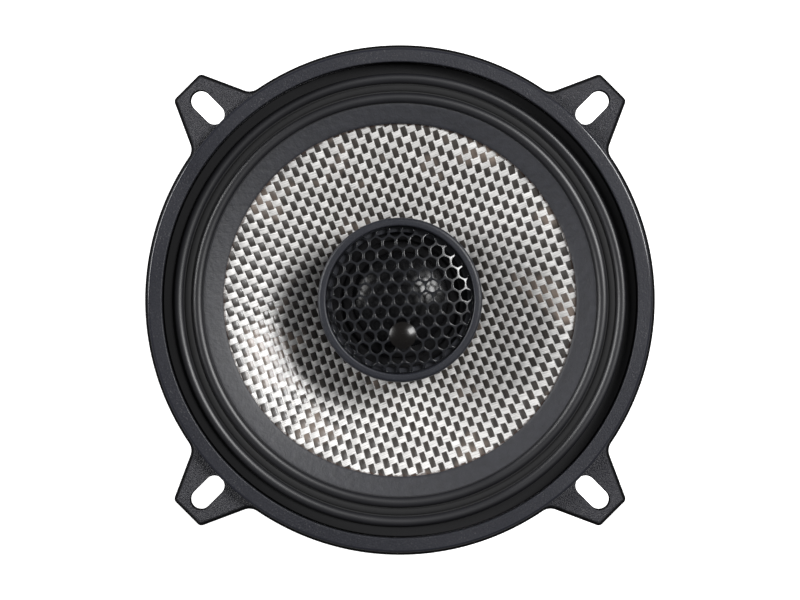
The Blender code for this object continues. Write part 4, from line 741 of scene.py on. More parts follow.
def surround_rubber(name, sizes, colours):
    """Satin rubber, with a paler, matt lip where it is glued to the cone, and painted shade in the recess and
    in the groove round the ridge.
    """
    material, n, ends, place = new_finish(name, Specular_IOR_Level=0.8)
    grain = use_group(n, "Grain", build_grain_group, Vector=place, Size=0.00022, Lumps=0.5)
    mottle = n.between(n.noise(place, 520.0, 4.0, 0.65), 0.35, 0.68)
    reach = reach_of(n, place)
    lip = glue_lip_outer(sizes)
    on_lip = n.between(reach, lip + 0.0001, lip)
    # Painted shade: the flat recess outside the outer roll is darkened.
    recess = n.between(reach, SURROUND_RADIUS - RECESS_WIDTH - 0.0004, SURROUND_RADIUS - RECESS_WIDTH)
    body = n.mix(n.between(grain["Cloud"], 0.3, 0.7), shaded(colours.rubber, 0.85),
                 shaded(colours.rubber, 1.15))
    body = n.mix(recess, body, shaded(colours.rubber, 0.45))
    # Painted shade: the groove round the ridge between the rolls is darkened.
    ridge = roll_centres(sizes)[1]
    hollow = sizes.ridge_half + 0.0005
    groove = n.between(n.math("ABSOLUTE", n.math("SUBTRACT", reach, ridge)), hollow, hollow - 0.0004)
    body = n.mix(groove, body, shaded(colours.rubber, 0.3))
    glue = n.mix(mottle, shaded(colours.glue, 0.70), shaded(colours.glue, 1.35))
    glue = n.mix(n.math("MULTIPLY", grain["Speckle"], 0.4), glue, shaded(colours.glue, 1.9))
    n.feed(ends["Base Color"], n.mix(on_lip, body, glue))
    gloss = n.between(grain["Cloud"], 0.25, 0.75, 0.40, 0.49)
    # Metallic and extra roughness in the recess and the groove keep the painted shade dark.
    n.feed(ends["Metallic"], n.math("MAXIMUM", n.math("MULTIPLY", recess, 0.55),
                                    n.math("MULTIPLY", groove, 0.35)))
    matt = n.math("MULTIPLY", n.math("MAXIMUM", groove, recess), 0.28)
    n.feed(ends["Roughness"], n.math("ADD", gloss, n.math("MAXIMUM", matt, n.math("MULTIPLY", on_lip, 0.12))))
    lumps = bump(n, n.math("MULTIPLY", mottle, on_lip), 0.00005)
    n.feed(ends["Normal"], bump(n, grain["Height"], 0.00002, under=lumps))
    return material


def wound_copper(name, colours):
    """Turns of enamelled wire one above the other, with painted shade between the turns."""
    material, n, ends, place = new_finish(name, Metallic=1.0)
    height = n.add("ShaderNodeSeparateXYZ", (place,)).outputs[2]
    turn = n.math("FRACT", n.math("MULTIPLY", height, 6000.0))
    crown = n.math("SINE", n.math("MULTIPLY", turn, math.pi))
    cloud = n.noise(place, 400.0, 2.0)
    # Painted shade: the colour darkens towards the crease between two turns.
    n.feed(ends["Base Color"], n.mix(crown, shaded(colours.copper, 0.35), colours.copper))
    n.feed(ends["Roughness"], n.between(cloud, 0.3, 0.7, 0.22, 0.40))
    n.feed(ends["Normal"], bump(n, crown, 0.00003))
    return material


def insulation(name, colour, roughness=0.42):
    """Soft vinyl on a thin wire, a little uneven."""
    material, n, ends, place = new_finish(name)
    uneven = n.noise(place, 900.0, 3.0, 0.6)
    n.feed(ends["Base Color"], n.mix(n.between(uneven, 0.35, 0.7), colour, shaded(colour, 0.7)))
    n.feed(ends["Roughness"], n.between(uneven, 0.3, 0.7, roughness - 0.08, roughness + 0.08))
    n.feed(ends["Normal"], bump(n, uneven, 0.00002))
    return material


def make_finish(slot):
    sizes = bpy.context.scene.speaker_sizes
    colours = bpy.context.scene.speaker_colours
    makers = {
        # The basket's paint carries painted shade on its steep faces.
        "painted_basket": lambda: grained(slot, colours.paint, 0.00033, 0.00042, 0.40, 0.5, 1.0, 0.4,
                                          painted_shade_on_sides=True),
        # The trim ring's outer edge carries a painted highlight.
        "trim_rubber": lambda: grained(slot, colours.trim, 0.00036, 0.00008, 0.42, 0.5, 0.8, 0.6,
                                       polish_and_highlight_from=radius_of("trim_ring") - 0.0007),
        "seal_foam": lambda: grained(slot, (0.020, 0.020, 0.021), 0.0004, 0.00012, 0.92, 0.9, 0.25, 0.2),
        "surround_rubber": lambda: surround_rubber(slot, sizes, colours),
        "woven_glass": lambda: woven_glass(slot, sizes, colours),
        "felt": lambda: grained(slot, (0.010, 0.010, 0.011), 0.00025, 0.0002, 0.95, 0.1, 0.35, 0.1,
                                Specular_IOR_Level=0.2),
        "polyimide": lambda: grained(slot, (0.42, 0.19, 0.04), 0.0008, 0.00001, 0.35, 0.2, 0.06, 0.1),
        "copper": lambda: wound_copper(slot, colours),
        "spider_cloth": lambda: cloth_finish(slot, colours.spider, 0.00075, 0.0001, 0.82),
        "zinc_steel": lambda: brushed(slot, colours.zinc, 0.34, 0.000006),
        "ferrite": lambda: grained(slot, colours.ferrite, 0.0011, 0.00004, 0.60, 0.25, 0.20, 0.4),
        "board": lambda: grained(slot, (0.15, 0.075, 0.035), 0.0006, 0.00002, 0.55, 0.15, 0.18, 0.2),
        "tin_plate": lambda: brushed(slot, (0.74, 0.74, 0.72), 0.28, 0.000004),
        "black_plastic": lambda: grained(slot, colours.plastic, 0.00034, 0.00006, 0.40, 0.5, 0.6, 0.25),
        "mesh_steel": lambda: grained(slot, colours.mesh, 0.0003, 0.000006, 0.24, 0.5, 0.15, 0.0,
                                      Specular_IOR_Level=0.9),
        "badge_gloss": lambda: grained(slot, colours.badge, 0.0016, 0.000002, 0.26, 0.2, 0.05, 0.1,
                                       Specular_IOR_Level=0.35, Coat_Weight=0.15, Coat_Roughness=0.10),
        "dome_cloth": lambda: cloth_finish(slot, colours.dome, 0.00042, 0.0000003, 0.26,
                                           Specular_IOR_Level=0.35, Coat_Weight=0.12, Coat_Roughness=0.12),
        "blue_sleeve": lambda: grained(slot, colours.sleeve, 0.0022, 0.00004, 0.30, 0.1, 0.08, 0.1),
        "red_insulation": lambda: insulation(slot, (0.45, 0.03, 0.02)),
        "dark_insulation": lambda: insulation(slot, (0.02, 0.02, 0.02)),
    }
    return makers[slot]()


def finish(slot):
    """The material of a slot, made the first time it is asked for."""
    return bpy.data.materials.get(f"{slot}_finish") or make_finish(slot)


# ---------------------------------------------------------------- basket

def ear_side(sizes):
    """One side of an ear, from the rim to its outer corner, in the ear's own axes."""
    normal = Vector((math.sin(sizes.ear_flare), math.cos(sizes.ear_flare)))
    along = Vector((-math.cos(sizes.ear_flare), math.sin(sizes.ear_flare)))
    line = normal.dot(Vector((sizes.ear_reach, sizes.ear_end_half)))
    off = line + sizes.ear_root
    centre = off * normal - math.sqrt((FLANGE_RADIUS + sizes.ear_root) ** 2 - off ** 2) * along
    to_rim = math.atan2(-centre.y, -centre.x)
    to_side = math.atan2(-normal.y, -normal.x)
    points = arc(centre, sizes.ear_root, to_rim, to_side, 12)
    corner = sizes.ear_corner
    x = sizes.ear_reach - corner
    y = (line - corner - normal.x * x) / normal.y
    return points + arc((x, y), corner, math.pi / 2 - sizes.ear_flare, 0, 8)


def flange_outline(sizes):
    """The flange with its four ears, counter-clockwise."""
    side = ear_side(sizes)
    ear = [(x, -y) for x, y in side] + side[::-1]
    rim_angle = math.atan2(side[0][1], side[0][0])
    rim = arc((0, 0), FLANGE_RADIUS, rim_angle, math.pi / 2 - rim_angle, 60)[1:-1]
    outline = []
    for k in range(4):
        outline += turned_by(ear + rim, math.pi / 4 + k * math.pi / 2)
    return outline


def softened(outline, reach, step=0.0004):
    """A closed outline with its corners smoothed over a reach."""
    points = [Vector(p) for p in outline]
    dense = []
    for here, after in zip(points, points[1:] + points[:1]):
        pieces = max(1, round((after - here).length / step))
        dense += [here.lerp(after, k / pieces) for k in range(pieces)]
    half = max(1, round(reach / step))
    count = len(dense)
    smooth = []
    for i in range(0, count, 2):
        near = [dense[(i + k) % count] for k in range(-half, half + 1)]
        smooth.append(tuple(sum(near, Vector((0, 0))) / len(near)))
    return smooth


def basket_bowl(sizes):
    """Base, cup, spider ledge, legs and surround seat, turned in one."""
    seat = FLANGE_TOP - sizes.seat_drop
    seat_inner = SEAT_RADIUS - sizes.seat_width
    wall, base, sheet = 0.0022, 0.002, 0.002
    leg_outer = SEAT_RADIUS - 0.0013
    profile = rounded([
        (SEAT_RADIUS + 0.0015, seat), (SEAT_RADIUS + 0.0015, FLANGE_BACK + 0.0006),
        (leg_outer, FLANGE_BACK + 0.0006), (leg_outer, FLANGE_BACK - 0.0014, 0.0008),
        (CUP_RADIUS, LEDGE_TOP - 0.0006, 0.0015), (CUP_RADIUS, BASKET_FOOT, 0.0012),
        (0.017, BASKET_FOOT, 0.0003), (0.017, BASKET_FOOT + base, 0.0003),
        (CUP_RADIUS - wall, BASKET_FOOT + base, 0.0012), (CUP_RADIUS - wall, LEDGE_TOP - 0.0030, 0.001),
        (SPIDER_RADIUS + GAP - 0.0042, LEDGE_TOP - 0.0016, 0.0003),
        (SPIDER_RADIUS + GAP - 0.0042, LEDGE_TOP, 0.0003), (SPIDER_RADIUS + GAP, LEDGE_TOP),
        (SPIDER_RADIUS + GAP, LEDGE_TOP + 0.0012, 0.0003),
        (SPIDER_RADIUS + GAP + 0.0007, LEDGE_TOP + 0.0018, 0.0004),
        (seat_inner, seat - sheet, 0.0008), (seat_inner, seat, 0.0004),
    ])
    return lathe("basket_finished", profile, sizes.facets)


def basket_windows(sizes):
    """One cutter for the gap between each pair of legs, with rounded corners."""
    half = sizes.leg_width / 2
    near, far = CUP_RADIUS + 0.0010, SEAT_RADIUS - 0.0024
    pitch = math.pi / 4
    low, high = pitch - math.asin(half / near), pitch - math.asin(half / far)
    outline = arc((0, 0), near, low, -low, 24) + arc((0, 0), far, -high, high, 40)
    outline = softened(outline, 0.0016)
    return [slab(f"window_{k}", turned_by(outline, k * math.pi / 2), LEDGE_TOP - 0.006,
                 FLANGE_TOP - sizes.seat_drop - 0.0021, 0.0001, steps=1) for k in range(4)]


def leg_rib(k):
    """A stiffening rib down the outside of one leg."""
    top = Vector((SEAT_RADIUS - 0.0023, FLANGE_BACK - 0.0010))
    low = Vector((CUP_RADIUS - 0.0008, LEDGE_TOP - 0.0010))
    slope = (top - low).normalized()
    out = Vector((slope.y, -slope.x))
    foot = low - slope * 0.002
    side = [foot + out * 0.0022, top + out * 0.0011 - slope * 0.001, top - out * 0.001, foot - out * 0.0004]
    corners = [(p.x, p.y, 0.0006) for p in side]
    turn = math.pi / 4 + k * math.pi / 2
    c, s = math.cos(turn), math.sin(turn)
    place = (lambda r, z, across: (c * r - s * across, s * r + c * across, z))
    return slab(f"rib_{k}", rounded(corners), -0.0015, 0.0015, 0.0005, place)


def slot_cutter(k, sizes):
    """The hole for a mounting screw, with a broken edge at the front."""
    half = sizes.slot_width / 2
    straight = sizes.slot_length / 2 - half
    outline = arc((sizes.slot_centre + straight, 0), half, -math.pi / 2, math.pi / 2, 20)
    outline += arc((sizes.slot_centre - straight, 0), half, math.pi / 2, 3 * math.pi / 2, 20)
    outline = turned_by(outline, math.pi / 4 + k * math.pi / 2)
    bm = bmesh.new()
    levels = ((FLANGE_BACK - 0.002, 0), (FLANGE_TOP - 0.0004, 0), (FLANGE_TOP - 0.0001, -0.0001),
              (FLANGE_TOP + 0.0001, -0.0003), (FLANGE_TOP + 0.002, -0.0020))
    rings = [[bm.verts.new((x, y, z)) for x, y in shrunk(outline, inset)] for z, inset in levels]
    for lower, upper in zip(rings, rings[1:]):
        for i in range(len(outline)):
            j = (i + 1) % len(outline)
            bm.faces.new((lower[i], lower[j], upper[j], upper[i]))
    bm.faces.new(rings[0])
    bm.faces.new(rings[-1])
    return object_from(bm, f"slot_{k}")


def rivet_places():
    places = []
    for k in range(4):
        low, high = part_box(f"basket_rivet_{k + 1}")
        places.append(((low.x + high.x) / 2, (low.y + high.y) / 2))
    return places


def along_y(obj, x, z):
    """Lays an upright turned piece along -Y at a place."""
    obj.data.transform(Matrix.Translation((x, 0, z)) @ Matrix.Rotation(math.pi / 2, 4, "X"))
    return obj


def make_basket(sizes):
    bowl = basket_bowl(sizes)
    flange = slab("flange", flange_outline(sizes), FLANGE_BACK, FLANGE_TOP, sizes.flange_edge,
                  back_edge=0.0003, steps=6, deep=sizes.flange_drop)
    bore = lathe("bore", plug(SEAT_RADIUS, FLANGE_BACK - 0.01, FLANGE_TOP + 0.01), sizes.facets)
    boolean(flange, [bore], "DIFFERENCE")
    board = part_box("terminal_board")
    boss = slab("boss", rectangle(-0.0128, 0.0128, BASKET_FOOT + 0.0012, LEDGE_TOP - 0.0008, 0.001),
                CUP_RADIUS - 0.0017, -board[1].y - GAP, 0.0004, lambda x, z, h: (x, -h, z))
    boolean(bowl, [flange, boss], "UNION")
    boolean(bowl, basket_windows(sizes), "DIFFERENCE")
    boolean(bowl, [leg_rib(k) for k in range(4)], "UNION")
    cutters = [slot_cutter(k, sizes) for k in range(4)]
    for k, place in enumerate(rivet_places()):
        hole = plug(RIVET_BORE, BASKET_FOOT - 0.001, BASKET_FOOT + 0.003)
        cutters.append(lathe(f"rivet_hole_{k}", hole, 24, place))
    boolean(bowl, cutters, "DIFFERENCE")
    put(evened(bowl), "frame", "painted_basket", "basket")


def make_trim(sizes):
    """Rubber trim ring in front of the flange and foam seal behind it."""
    low, high = foot_of("trim_ring"), top_of("trim_ring")
    outer, inner = radius_of("trim_ring"), SEAT_RADIUS - 0.0001
    profile = ring(inner, outer, low, high, (0.0002, 0.0002, 0.0007, 0.0003), steps=8)
    put(lathe("trim_ring_finished", profile, sizes.facets), "frame", "trim_rubber", "trim_ring")
    low, high = foot_of("mounting_gasket"), top_of("mounting_gasket")
    seal = ring(SEAT_RADIUS + 0.0003, radius_of("mounting_gasket"), low, high,
                (0.0004, 0.0004, 0.0002, 0.0002))
    put(lathe("mounting_gasket_finished", seal, sizes.facets), "frame", "seal_foam", "mounting_gasket")


# ---------------------------------------------------------------- cone and its hangings

def roll_centres(sizes):
    """Middles of the outer roll, the ridge and the inner roll."""
    flat = 0.0003
    outer = SURROUND_RADIUS - 0.0025 - sizes.roll_half
    ridge = outer - sizes.roll_half - flat - sizes.ridge_half
    inner = ridge - sizes.ridge_half - flat - sizes.roll_half
    return outer, ridge, inner


def glue_lip_outer(sizes):
    return roll_centres(sizes)[2] - sizes.roll_half - 0.0003


def cone_height(radius, sizes):
    """Height of the cone's front face at a radius."""
    t = (radius - CONE_NECK) / (CONE_RADIUS - CONE_NECK)
    low = CONE_FOOT + 0.001
    return low + (CONE_TOP - low) * t * (1 + sizes.cone_curve - sizes.cone_curve * t)


def hump(x, centre, half, height):
    """A half-round roll."""
    return height * math.sqrt(max(0.0, 1 - ((x - centre) / half) ** 2))


def new_tree(name, floats=(), **others):
    """A geometry tree with its named inputs, its nodes, and its ends."""
    tree = bpy.data.node_groups.new(name, "GeometryNodeTree")
    for label, kind in others.items():
        tree.interface.new_socket(label, in_out="INPUT", socket_type=f"NodeSocket{kind}")
    for label in floats:
        tree.interface.new_socket(label, in_out="INPUT", socket_type="NodeSocketFloat")
    tree.interface.new_socket("Material", in_out="INPUT", socket_type="NodeSocketMaterial")
    tree.interface.new_socket("Geometry", in_out="OUTPUT", socket_type="NodeSocketGeometry")
    n = Nodes(tree)
    return n, n.add("NodeGroupInput").outputs, n.add("NodeGroupOutput").inputs


def end_tree(n, given, out, geometry):
    """Makes the result real, and gives it its material."""
    real = n.add("GeometryNodeRealizeInstances", (geometry,)).outputs[0]
    finished = n.add("GeometryNodeSetMaterial", {"Geometry": real, "Material": given["Material"]}).outputs[0]
    n.feed(out["Geometry"], finished)
    return n.tree


def weave_relief_tree(name):
    """Lifts and lowers a mesh's points as the threads of a plain weave do."""
    floats = ("Pitch", "Turn", "Drape", "Weft Width", "Warp Width", "Relief")
    n, given, out = new_tree(name, floats, Geometry="Geometry")
    place = n.add("GeometryNodeInputPosition").outputs[0]
    front = n.add("GeometryNodeInputNamedAttribute", {"Name": "front"}, data_type="FLOAT").outputs[0]
    u, v = thread_places(n, place, given)
    height = weave_values(n, u, v, given["Weft Width"], given["Warp Width"])[0]
    lift = n.math("MULTIPLY", n.math("MULTIPLY", height, given["Relief"]), front)
    offset = n.add("ShaderNodeCombineXYZ", (0.0, 0.0, lift)).outputs[0]
    moved = n.add("GeometryNodeSetPosition", {"Geometry": given["Geometry"], "Offset": offset}).outputs[0]
    return end_tree(n, given, out, moved)


def run_tree(obj, tree, **values):
    """Runs a geometry tree on an object with its named inputs, and keeps the result."""
    change = obj.modifiers.new(tree.name, "NODES")
    change.node_group = tree
    for item in tree.interface.items_tree:
        key = item.name.replace(" ", "_")
        if item.in_out == "INPUT" and key in values:
            change[item.identifier] = values[key]
    bpy.context.view_layer.update()
    return settled(obj)


def make_cone(sizes):
    """Woven cone: fine rings on the front, coarse ones behind."""
    facets, rings = 720, 92
    radii = [CONE_NECK + (CONE_RADIUS - CONE_NECK) * i / rings for i in range(rings + 1)]
    front = [(r, cone_height(r, sizes)) for r in radii]
    thickness = 0.0007
    behind = radii[-1:0:-9]
    back = [(r, cone_height(r, sizes) - thickness) for r in behind if r > CONE_NECK + thickness]
    back.append((CONE_NECK + thickness, cone_height(CONE_NECK + thickness, sizes) - thickness))
    profile = front + back + [(CONE_NECK + thickness, CONE_FOOT), (CONE_NECK, CONE_FOOT)]
    cone = lathe("cone_finished", profile, facets)
    marks = cone.data.attributes.new("front", "FLOAT", "POINT")
    edge = 0.0006
    weights = []
    for vertex in cone.data.vertices:
        reach = math.hypot(vertex.co.x, vertex.co.y)
        on_front = vertex.co.z > cone_height(reach, sizes) - thickness / 2
        inside = CONE_NECK + edge < reach < CONE_RADIUS - edge
        weights.append(1.0 if on_front and inside else 0.0)
    marks.data.foreach_set("value", weights)
    run_tree(cone, weave_relief_tree("Weave relief"), Pitch=sizes.weave_pitch, Turn=sizes.weave_turn,
             Drape=sizes.weave_drape, Weft_Width=sizes.weft_width, Warp_Width=sizes.warp_width,
             Relief=sizes.weave_relief, Material=finish("woven_glass"))
    put(cone, "cone_assembly", "woven_glass", "cone")
    profile = ring(0.0056, radius_of("dust_ring"), foot_of("dust_ring"), top_of("dust_ring"),
                   (0.0001, 0.0001, 0.00025, 0.00025))
    put(lathe("dust_ring_finished", profile, SMALL_TURNED), "cone_assembly", "felt", "dust_ring")


def make_surround(sizes):
    """Two rolls with a low ridge between them, and lips on the cone and on the seat."""
    outer, ridge, inner = roll_centres(sizes)
    lip = glue_lip_outer(sizes)
    start = lip - sizes.glue_lip
    lip_end = cone_height(lip, sizes) + GAP
    seat = FLANGE_TOP - sizes.seat_drop + GAP
    thickness = 0.0005

    def under(radius):
        if radius <= lip:
            return cone_height(radius, sizes) + GAP
        t = min(1.0, (radius - lip) / (outer + sizes.roll_half - lip))
        rolls = (hump(radius, outer, sizes.roll_half, sizes.outer_roll)
                 + hump(radius, ridge, sizes.ridge_half, sizes.ridge)
                 + hump(radius, inner, sizes.roll_half, sizes.inner_roll))
        return lip_end + (seat - lip_end) * t + rolls

    radii = [start + sizes.glue_lip * i / 8 for i in range(9)]
    turns = [math.pi * (i / 18 - 0.5) for i in range(19)]
    for centre, half in ((inner, sizes.roll_half), (ridge, sizes.ridge_half), (outer, sizes.roll_half)):
        radii += [centre + half * math.sin(a) for a in turns]
    radii += [SURROUND_RADIUS - 0.0012, SURROUND_RADIUS]
    low = [(r, under(r)) for r in radii]
    crown = [(r, z + thickness) for r, z in reversed(low)]
    edge = 0.00015
    crown[0] = (crown[0][0] - edge, crown[0][1])
    crown[-1] = (crown[-1][0] + edge, crown[-1][1])
    crown.insert(0, (SURROUND_RADIUS, crown[0][1] - edge))
    crown.append((start, crown[-1][1] - edge))
    piece = lathe("surround_finished", low + crown, sizes.facets)
    put_between(piece, "frame", "cone_assembly", outer + sizes.roll_half, lip + 0.0001,
                "surround_rubber", "surround")


def make_spider(sizes):
    """Corrugated cloth disc with a flat rim and a collar."""
    thickness = 0.0004
    foot = foot_of("spider")
    outer_wave = SPIDER_RADIUS + GAP - 0.0044
    inner_wave = CONE_NECK + 0.0018
    steps = 16 * sizes.spider_waves
    under = [(SPIDER_RADIUS, foot), (outer_wave + 0.0006, foot)]
    for i in range(steps + 1):
        t = i / steps
        swell = math.sin(math.pi * sizes.spider_waves * t) ** 2
        under.append((outer_wave + (inner_wave - outer_wave) * t, foot + 0.0009 * swell))
    under.append((CONE_NECK, foot))
    top = top_of("spider")
    over = [(r, z + thickness) for r, z in reversed(under[:-1])]
    collar = CONE_NECK + thickness
    profile = under + [(CONE_NECK, top), (collar, top), (collar, foot + thickness)]
    piece = lathe("spider_finished", profile + over, TURNED)
    put_between(piece, "frame", "cone_assembly", outer_wave, inner_wave, "spider_cloth", "spider")


# ---------------------------------------------------------------- magnet system

def make_motor():
    """Yoke with its nut pocket and wire groove, ferrite ring and front plate."""
    radius, height = radius_of("yoke"), 0.005
    pocket, bore, depth = 0.0068, 0.0032, 0.0066
    pole, top = CONE_NECK - 0.00085, top_of("yoke")
    profile = rounded([
        (pocket, 0, 0.0003), (radius, 0, 0.0010), (radius, height, 0.0004), (pole, height, 0.0006),
        (pole, top, 0.0004), (bore, top, 0.0003), (bore, depth), (pocket, depth)])
    yoke = lathe("yoke_finished", profile, TURNED)
    groove = slab("groove", rectangle(-0.0016, 0.0016, -radius - 0.002, -pocket + 0.0015, 0.0005),
                  -0.002, 0.0021, 0.0004)
    boolean(yoke, [groove], "DIFFERENCE")
    put(evened(yoke), "frame", "zinc_steel", "yoke")

    low, high, outer = foot_of("magnet"), top_of("magnet"), radius_of("magnet")
    profile = ring(0.018, outer, low, high, (0.0004, 0.0011, 0.0011, 0.0004))
    put(lathe("magnet_finished", profile, TURNED), "frame", "ferrite", "magnet")

    low, high, outer = foot_of("front_plate"), top_of("front_plate"), radius_of("front_plate")
    inner = CONE_NECK + 0.00075
    profile = ring(inner, outer, low, high, (0.0003, 0.0006, 0.0006, 0.0003))
    plate = lathe("front_plate_finished", profile, TURNED)
    holes = []
    for k, place in enumerate(rivet_places()):
        foot = foot_of(f"basket_rivet_{k + 1}") - GAP
        holes.append(lathe(f"hole_{k}", plug(RIVET_BORE, foot, high + 0.001), 24, place))
    boolean(plate, holes, "DIFFERENCE")
    put(evened(plate), "frame", "zinc_steel", "front_plate")


def repeat_tree(name):
    """Puts a copy of one object at each point of a mesh."""
    n, given, out = new_tree(name, ("Lean", "Turn"), Geometry="Geometry", Part="Object", Seed="Int")
    part = n.add("GeometryNodeObjectInfo", {"Object": given["Part"]}).outputs["Geometry"]
    chance = n.add("FunctionNodeRandomValue", {"Seed": given["Seed"]}, data_type="FLOAT")
    turn = n.math("MULTIPLY", chance.outputs[1], given["Turn"])
    lean = n.add("ShaderNodeCombineXYZ", (given["Lean"], 0.0, 0.0)).outputs[0]
    spin = n.add("ShaderNodeCombineXYZ", (0.0, 0.0, turn)).outputs[0]
    leaning = n.add("FunctionNodeEulerToRotation", (lean,)).outputs[0]
    spinning = n.add("FunctionNodeEulerToRotation", (spin,)).outputs[0]
    turned = n.add("FunctionNodeRotateRotation", (leaning, spinning), rotation_space="LOCAL").outputs[0]
    copies = n.add("GeometryNodeInstanceOnPoints", {"Points": given["Geometry"], "Instance": part,
                                                    "Rotation": turned}).outputs[0]
    return end_tree(n, given, out, copies)


def repeated(name, part, places, slot, nodes, lean=0.0, turn=0.0, seed=0):
    """One piece that holds a copy of a part at each place."""
    mesh = bpy.data.meshes.new(name)
    mesh.from_pydata([tuple(p) for p in places], [], [])
    piece = bpy.data.objects.new(name, mesh)
    bpy.context.scene.collection.objects.link(piece)
    tree = bpy.data.node_groups.get("Repeat") or repeat_tree("Repeat")
    run_tree(piece, tree, Part=part, Lean=lean, Turn=turn, Seed=seed, Material=finish(slot))
    bpy.data.objects.remove(part)
    return put(piece, "frame", slot, *nodes)


def middle(node):
    low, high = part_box(node)
    return (low + high) / 2


def crossed_head(part, radius, top, depth=0.0006):
    """Cuts a cross recess into a screw's head."""
    tools = []
    for k in range(2):
        arm = slab(f"arm_{k}", turned_by(rectangle(-0.62 * radius, 0.62 * radius, -0.00022, 0.00022),
                                         k * math.pi / 2), top - depth, top + 0.001, 0.00003, steps=1)
        tools.append(arm)
    return boolean(part, tools, "DIFFERENCE")


def make_fasteners():
    """Basket rivets, board screws, terminal rivets, and the post's nut and washer."""
    names = [f"basket_rivet_{k + 1}" for k in range(4)]
    low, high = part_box(names[0])
    seat = BASKET_FOOT + 0.002 + GAP
    head, shank = (high.x - low.x) / 2, 0.0014
    rivet = lathe("rivet", rounded([(0, low.z - seat), (shank, low.z - seat, 0.0002), (shank, 0, 0.0001),
                                    (head, 0, 0.0002), (head, 0.0005, 0.0005),
                                    (0.55 * head, high.z - seat, 0.001), (0, high.z - seat)]), HEAD_TURNED)
    places = [(x, y, seat) for x, y in rivet_places()]
    repeated("basket_rivets", rivet, places, "zinc_steel", names)

    names = ["board_screw_left", "board_screw_right"]
    low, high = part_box(names[0])
    head, shank = (high.x - low.x) / 2, 0.0010
    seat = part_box("terminal_board")[0].y - GAP
    length, rise = high.y - seat, seat - low.y
    thread = []
    turns = 5
    for k in range(turns * 4 + 1):
        depth = -length + length * 0.85 * k / (turns * 4)
        thread.append((shank - (0.0002 if k % 4 == 2 else 0.0), depth))
    dome = [(shank, 0, 0.0001), (head, 0, 0.0002), (head, 0.4 * rise, 0.0004), (0.6 * head, rise, 0.0006),
            (0, rise)]
    profile = [(0, -length)] + thread + rounded(dome, closed=False)
    screw = crossed_head(lathe("screw", profile, HEAD_TURNED), head, rise)
    places = [(middle(name).x, seat, middle(name).z) for name in names]
    repeated("board_screws", screw, places, "zinc_steel", names, math.pi / 2, 1.3, 4)

    names = ["positive_terminal_rivet", "negative_terminal_rivet"]
    low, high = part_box(names[0])
    head, shank = (high.x - low.x) / 2, 0.0010
    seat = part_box("terminal_board")[0].y - GAP - 0.0008 - GAP
    rise, reach = seat - low.y, high.y - seat
    back = 0.0008
    profile = rounded([(0, -reach), (0.85 * head, -reach, 0.0003), (0.85 * head, back - reach, 0.0001),
                       (shank, back - reach), (shank, 0), (head, 0, 0.0002), (head, 0.4 * rise, 0.0003),
                       (0.7 * head, rise, 0.0003), (0.35 * head, rise, 0.0002),
                       (0.25 * head, 0.4 * rise, 0.0002), (0, 0.4 * rise)])
    rivet = lathe("terminal_rivet", profile, HEAD_TURNED)
    places = [(middle(name).x, seat, middle(name).z) for name in names]
    repeated("terminal_rivets", rivet, places, "tin_plate", names, math.pi / 2)

    low, high = foot_of("post_washer"), top_of("post_washer")
    washer = ring(0.0032, radius_of("post_washer"), low, high, (0.0001, 0.0002, 0.0001, 0.0001))
    put(lathe("post_washer_finished", washer, SMALL_TURNED), "frame", "zinc_steel", "post_washer")

    low, high = foot_of("post_nut"), top_of("post_nut")
    across = radius_of("post_nut")
    sides = [k * math.pi / 3 for k in range(6)]
    corners = [(across * math.cos(a), across * math.sin(a), 0.0003) for a in sides]
    nut = slab("post_nut_finished", rounded(corners), low, high, 0.0001)
    chamfer = rounded([(0.0032, low - 0.001), (across - 0.0009, low - 0.001), (across - 0.0006, low),
                       (across + 0.0002, low + 0.0005), (across + 0.0002, high - 0.0005),
                       (across - 0.0006, high), (across - 0.0009, high + 0.001), (0.0032, high + 0.001)])
    boolean(nut, [lathe("nut_turning", chamfer, SMALL_TURNED)], "INTERSECT")
    put(evened(nut), "frame", "zinc_steel", "post_nut")


# ---------------------------------------------------------------- tweeter

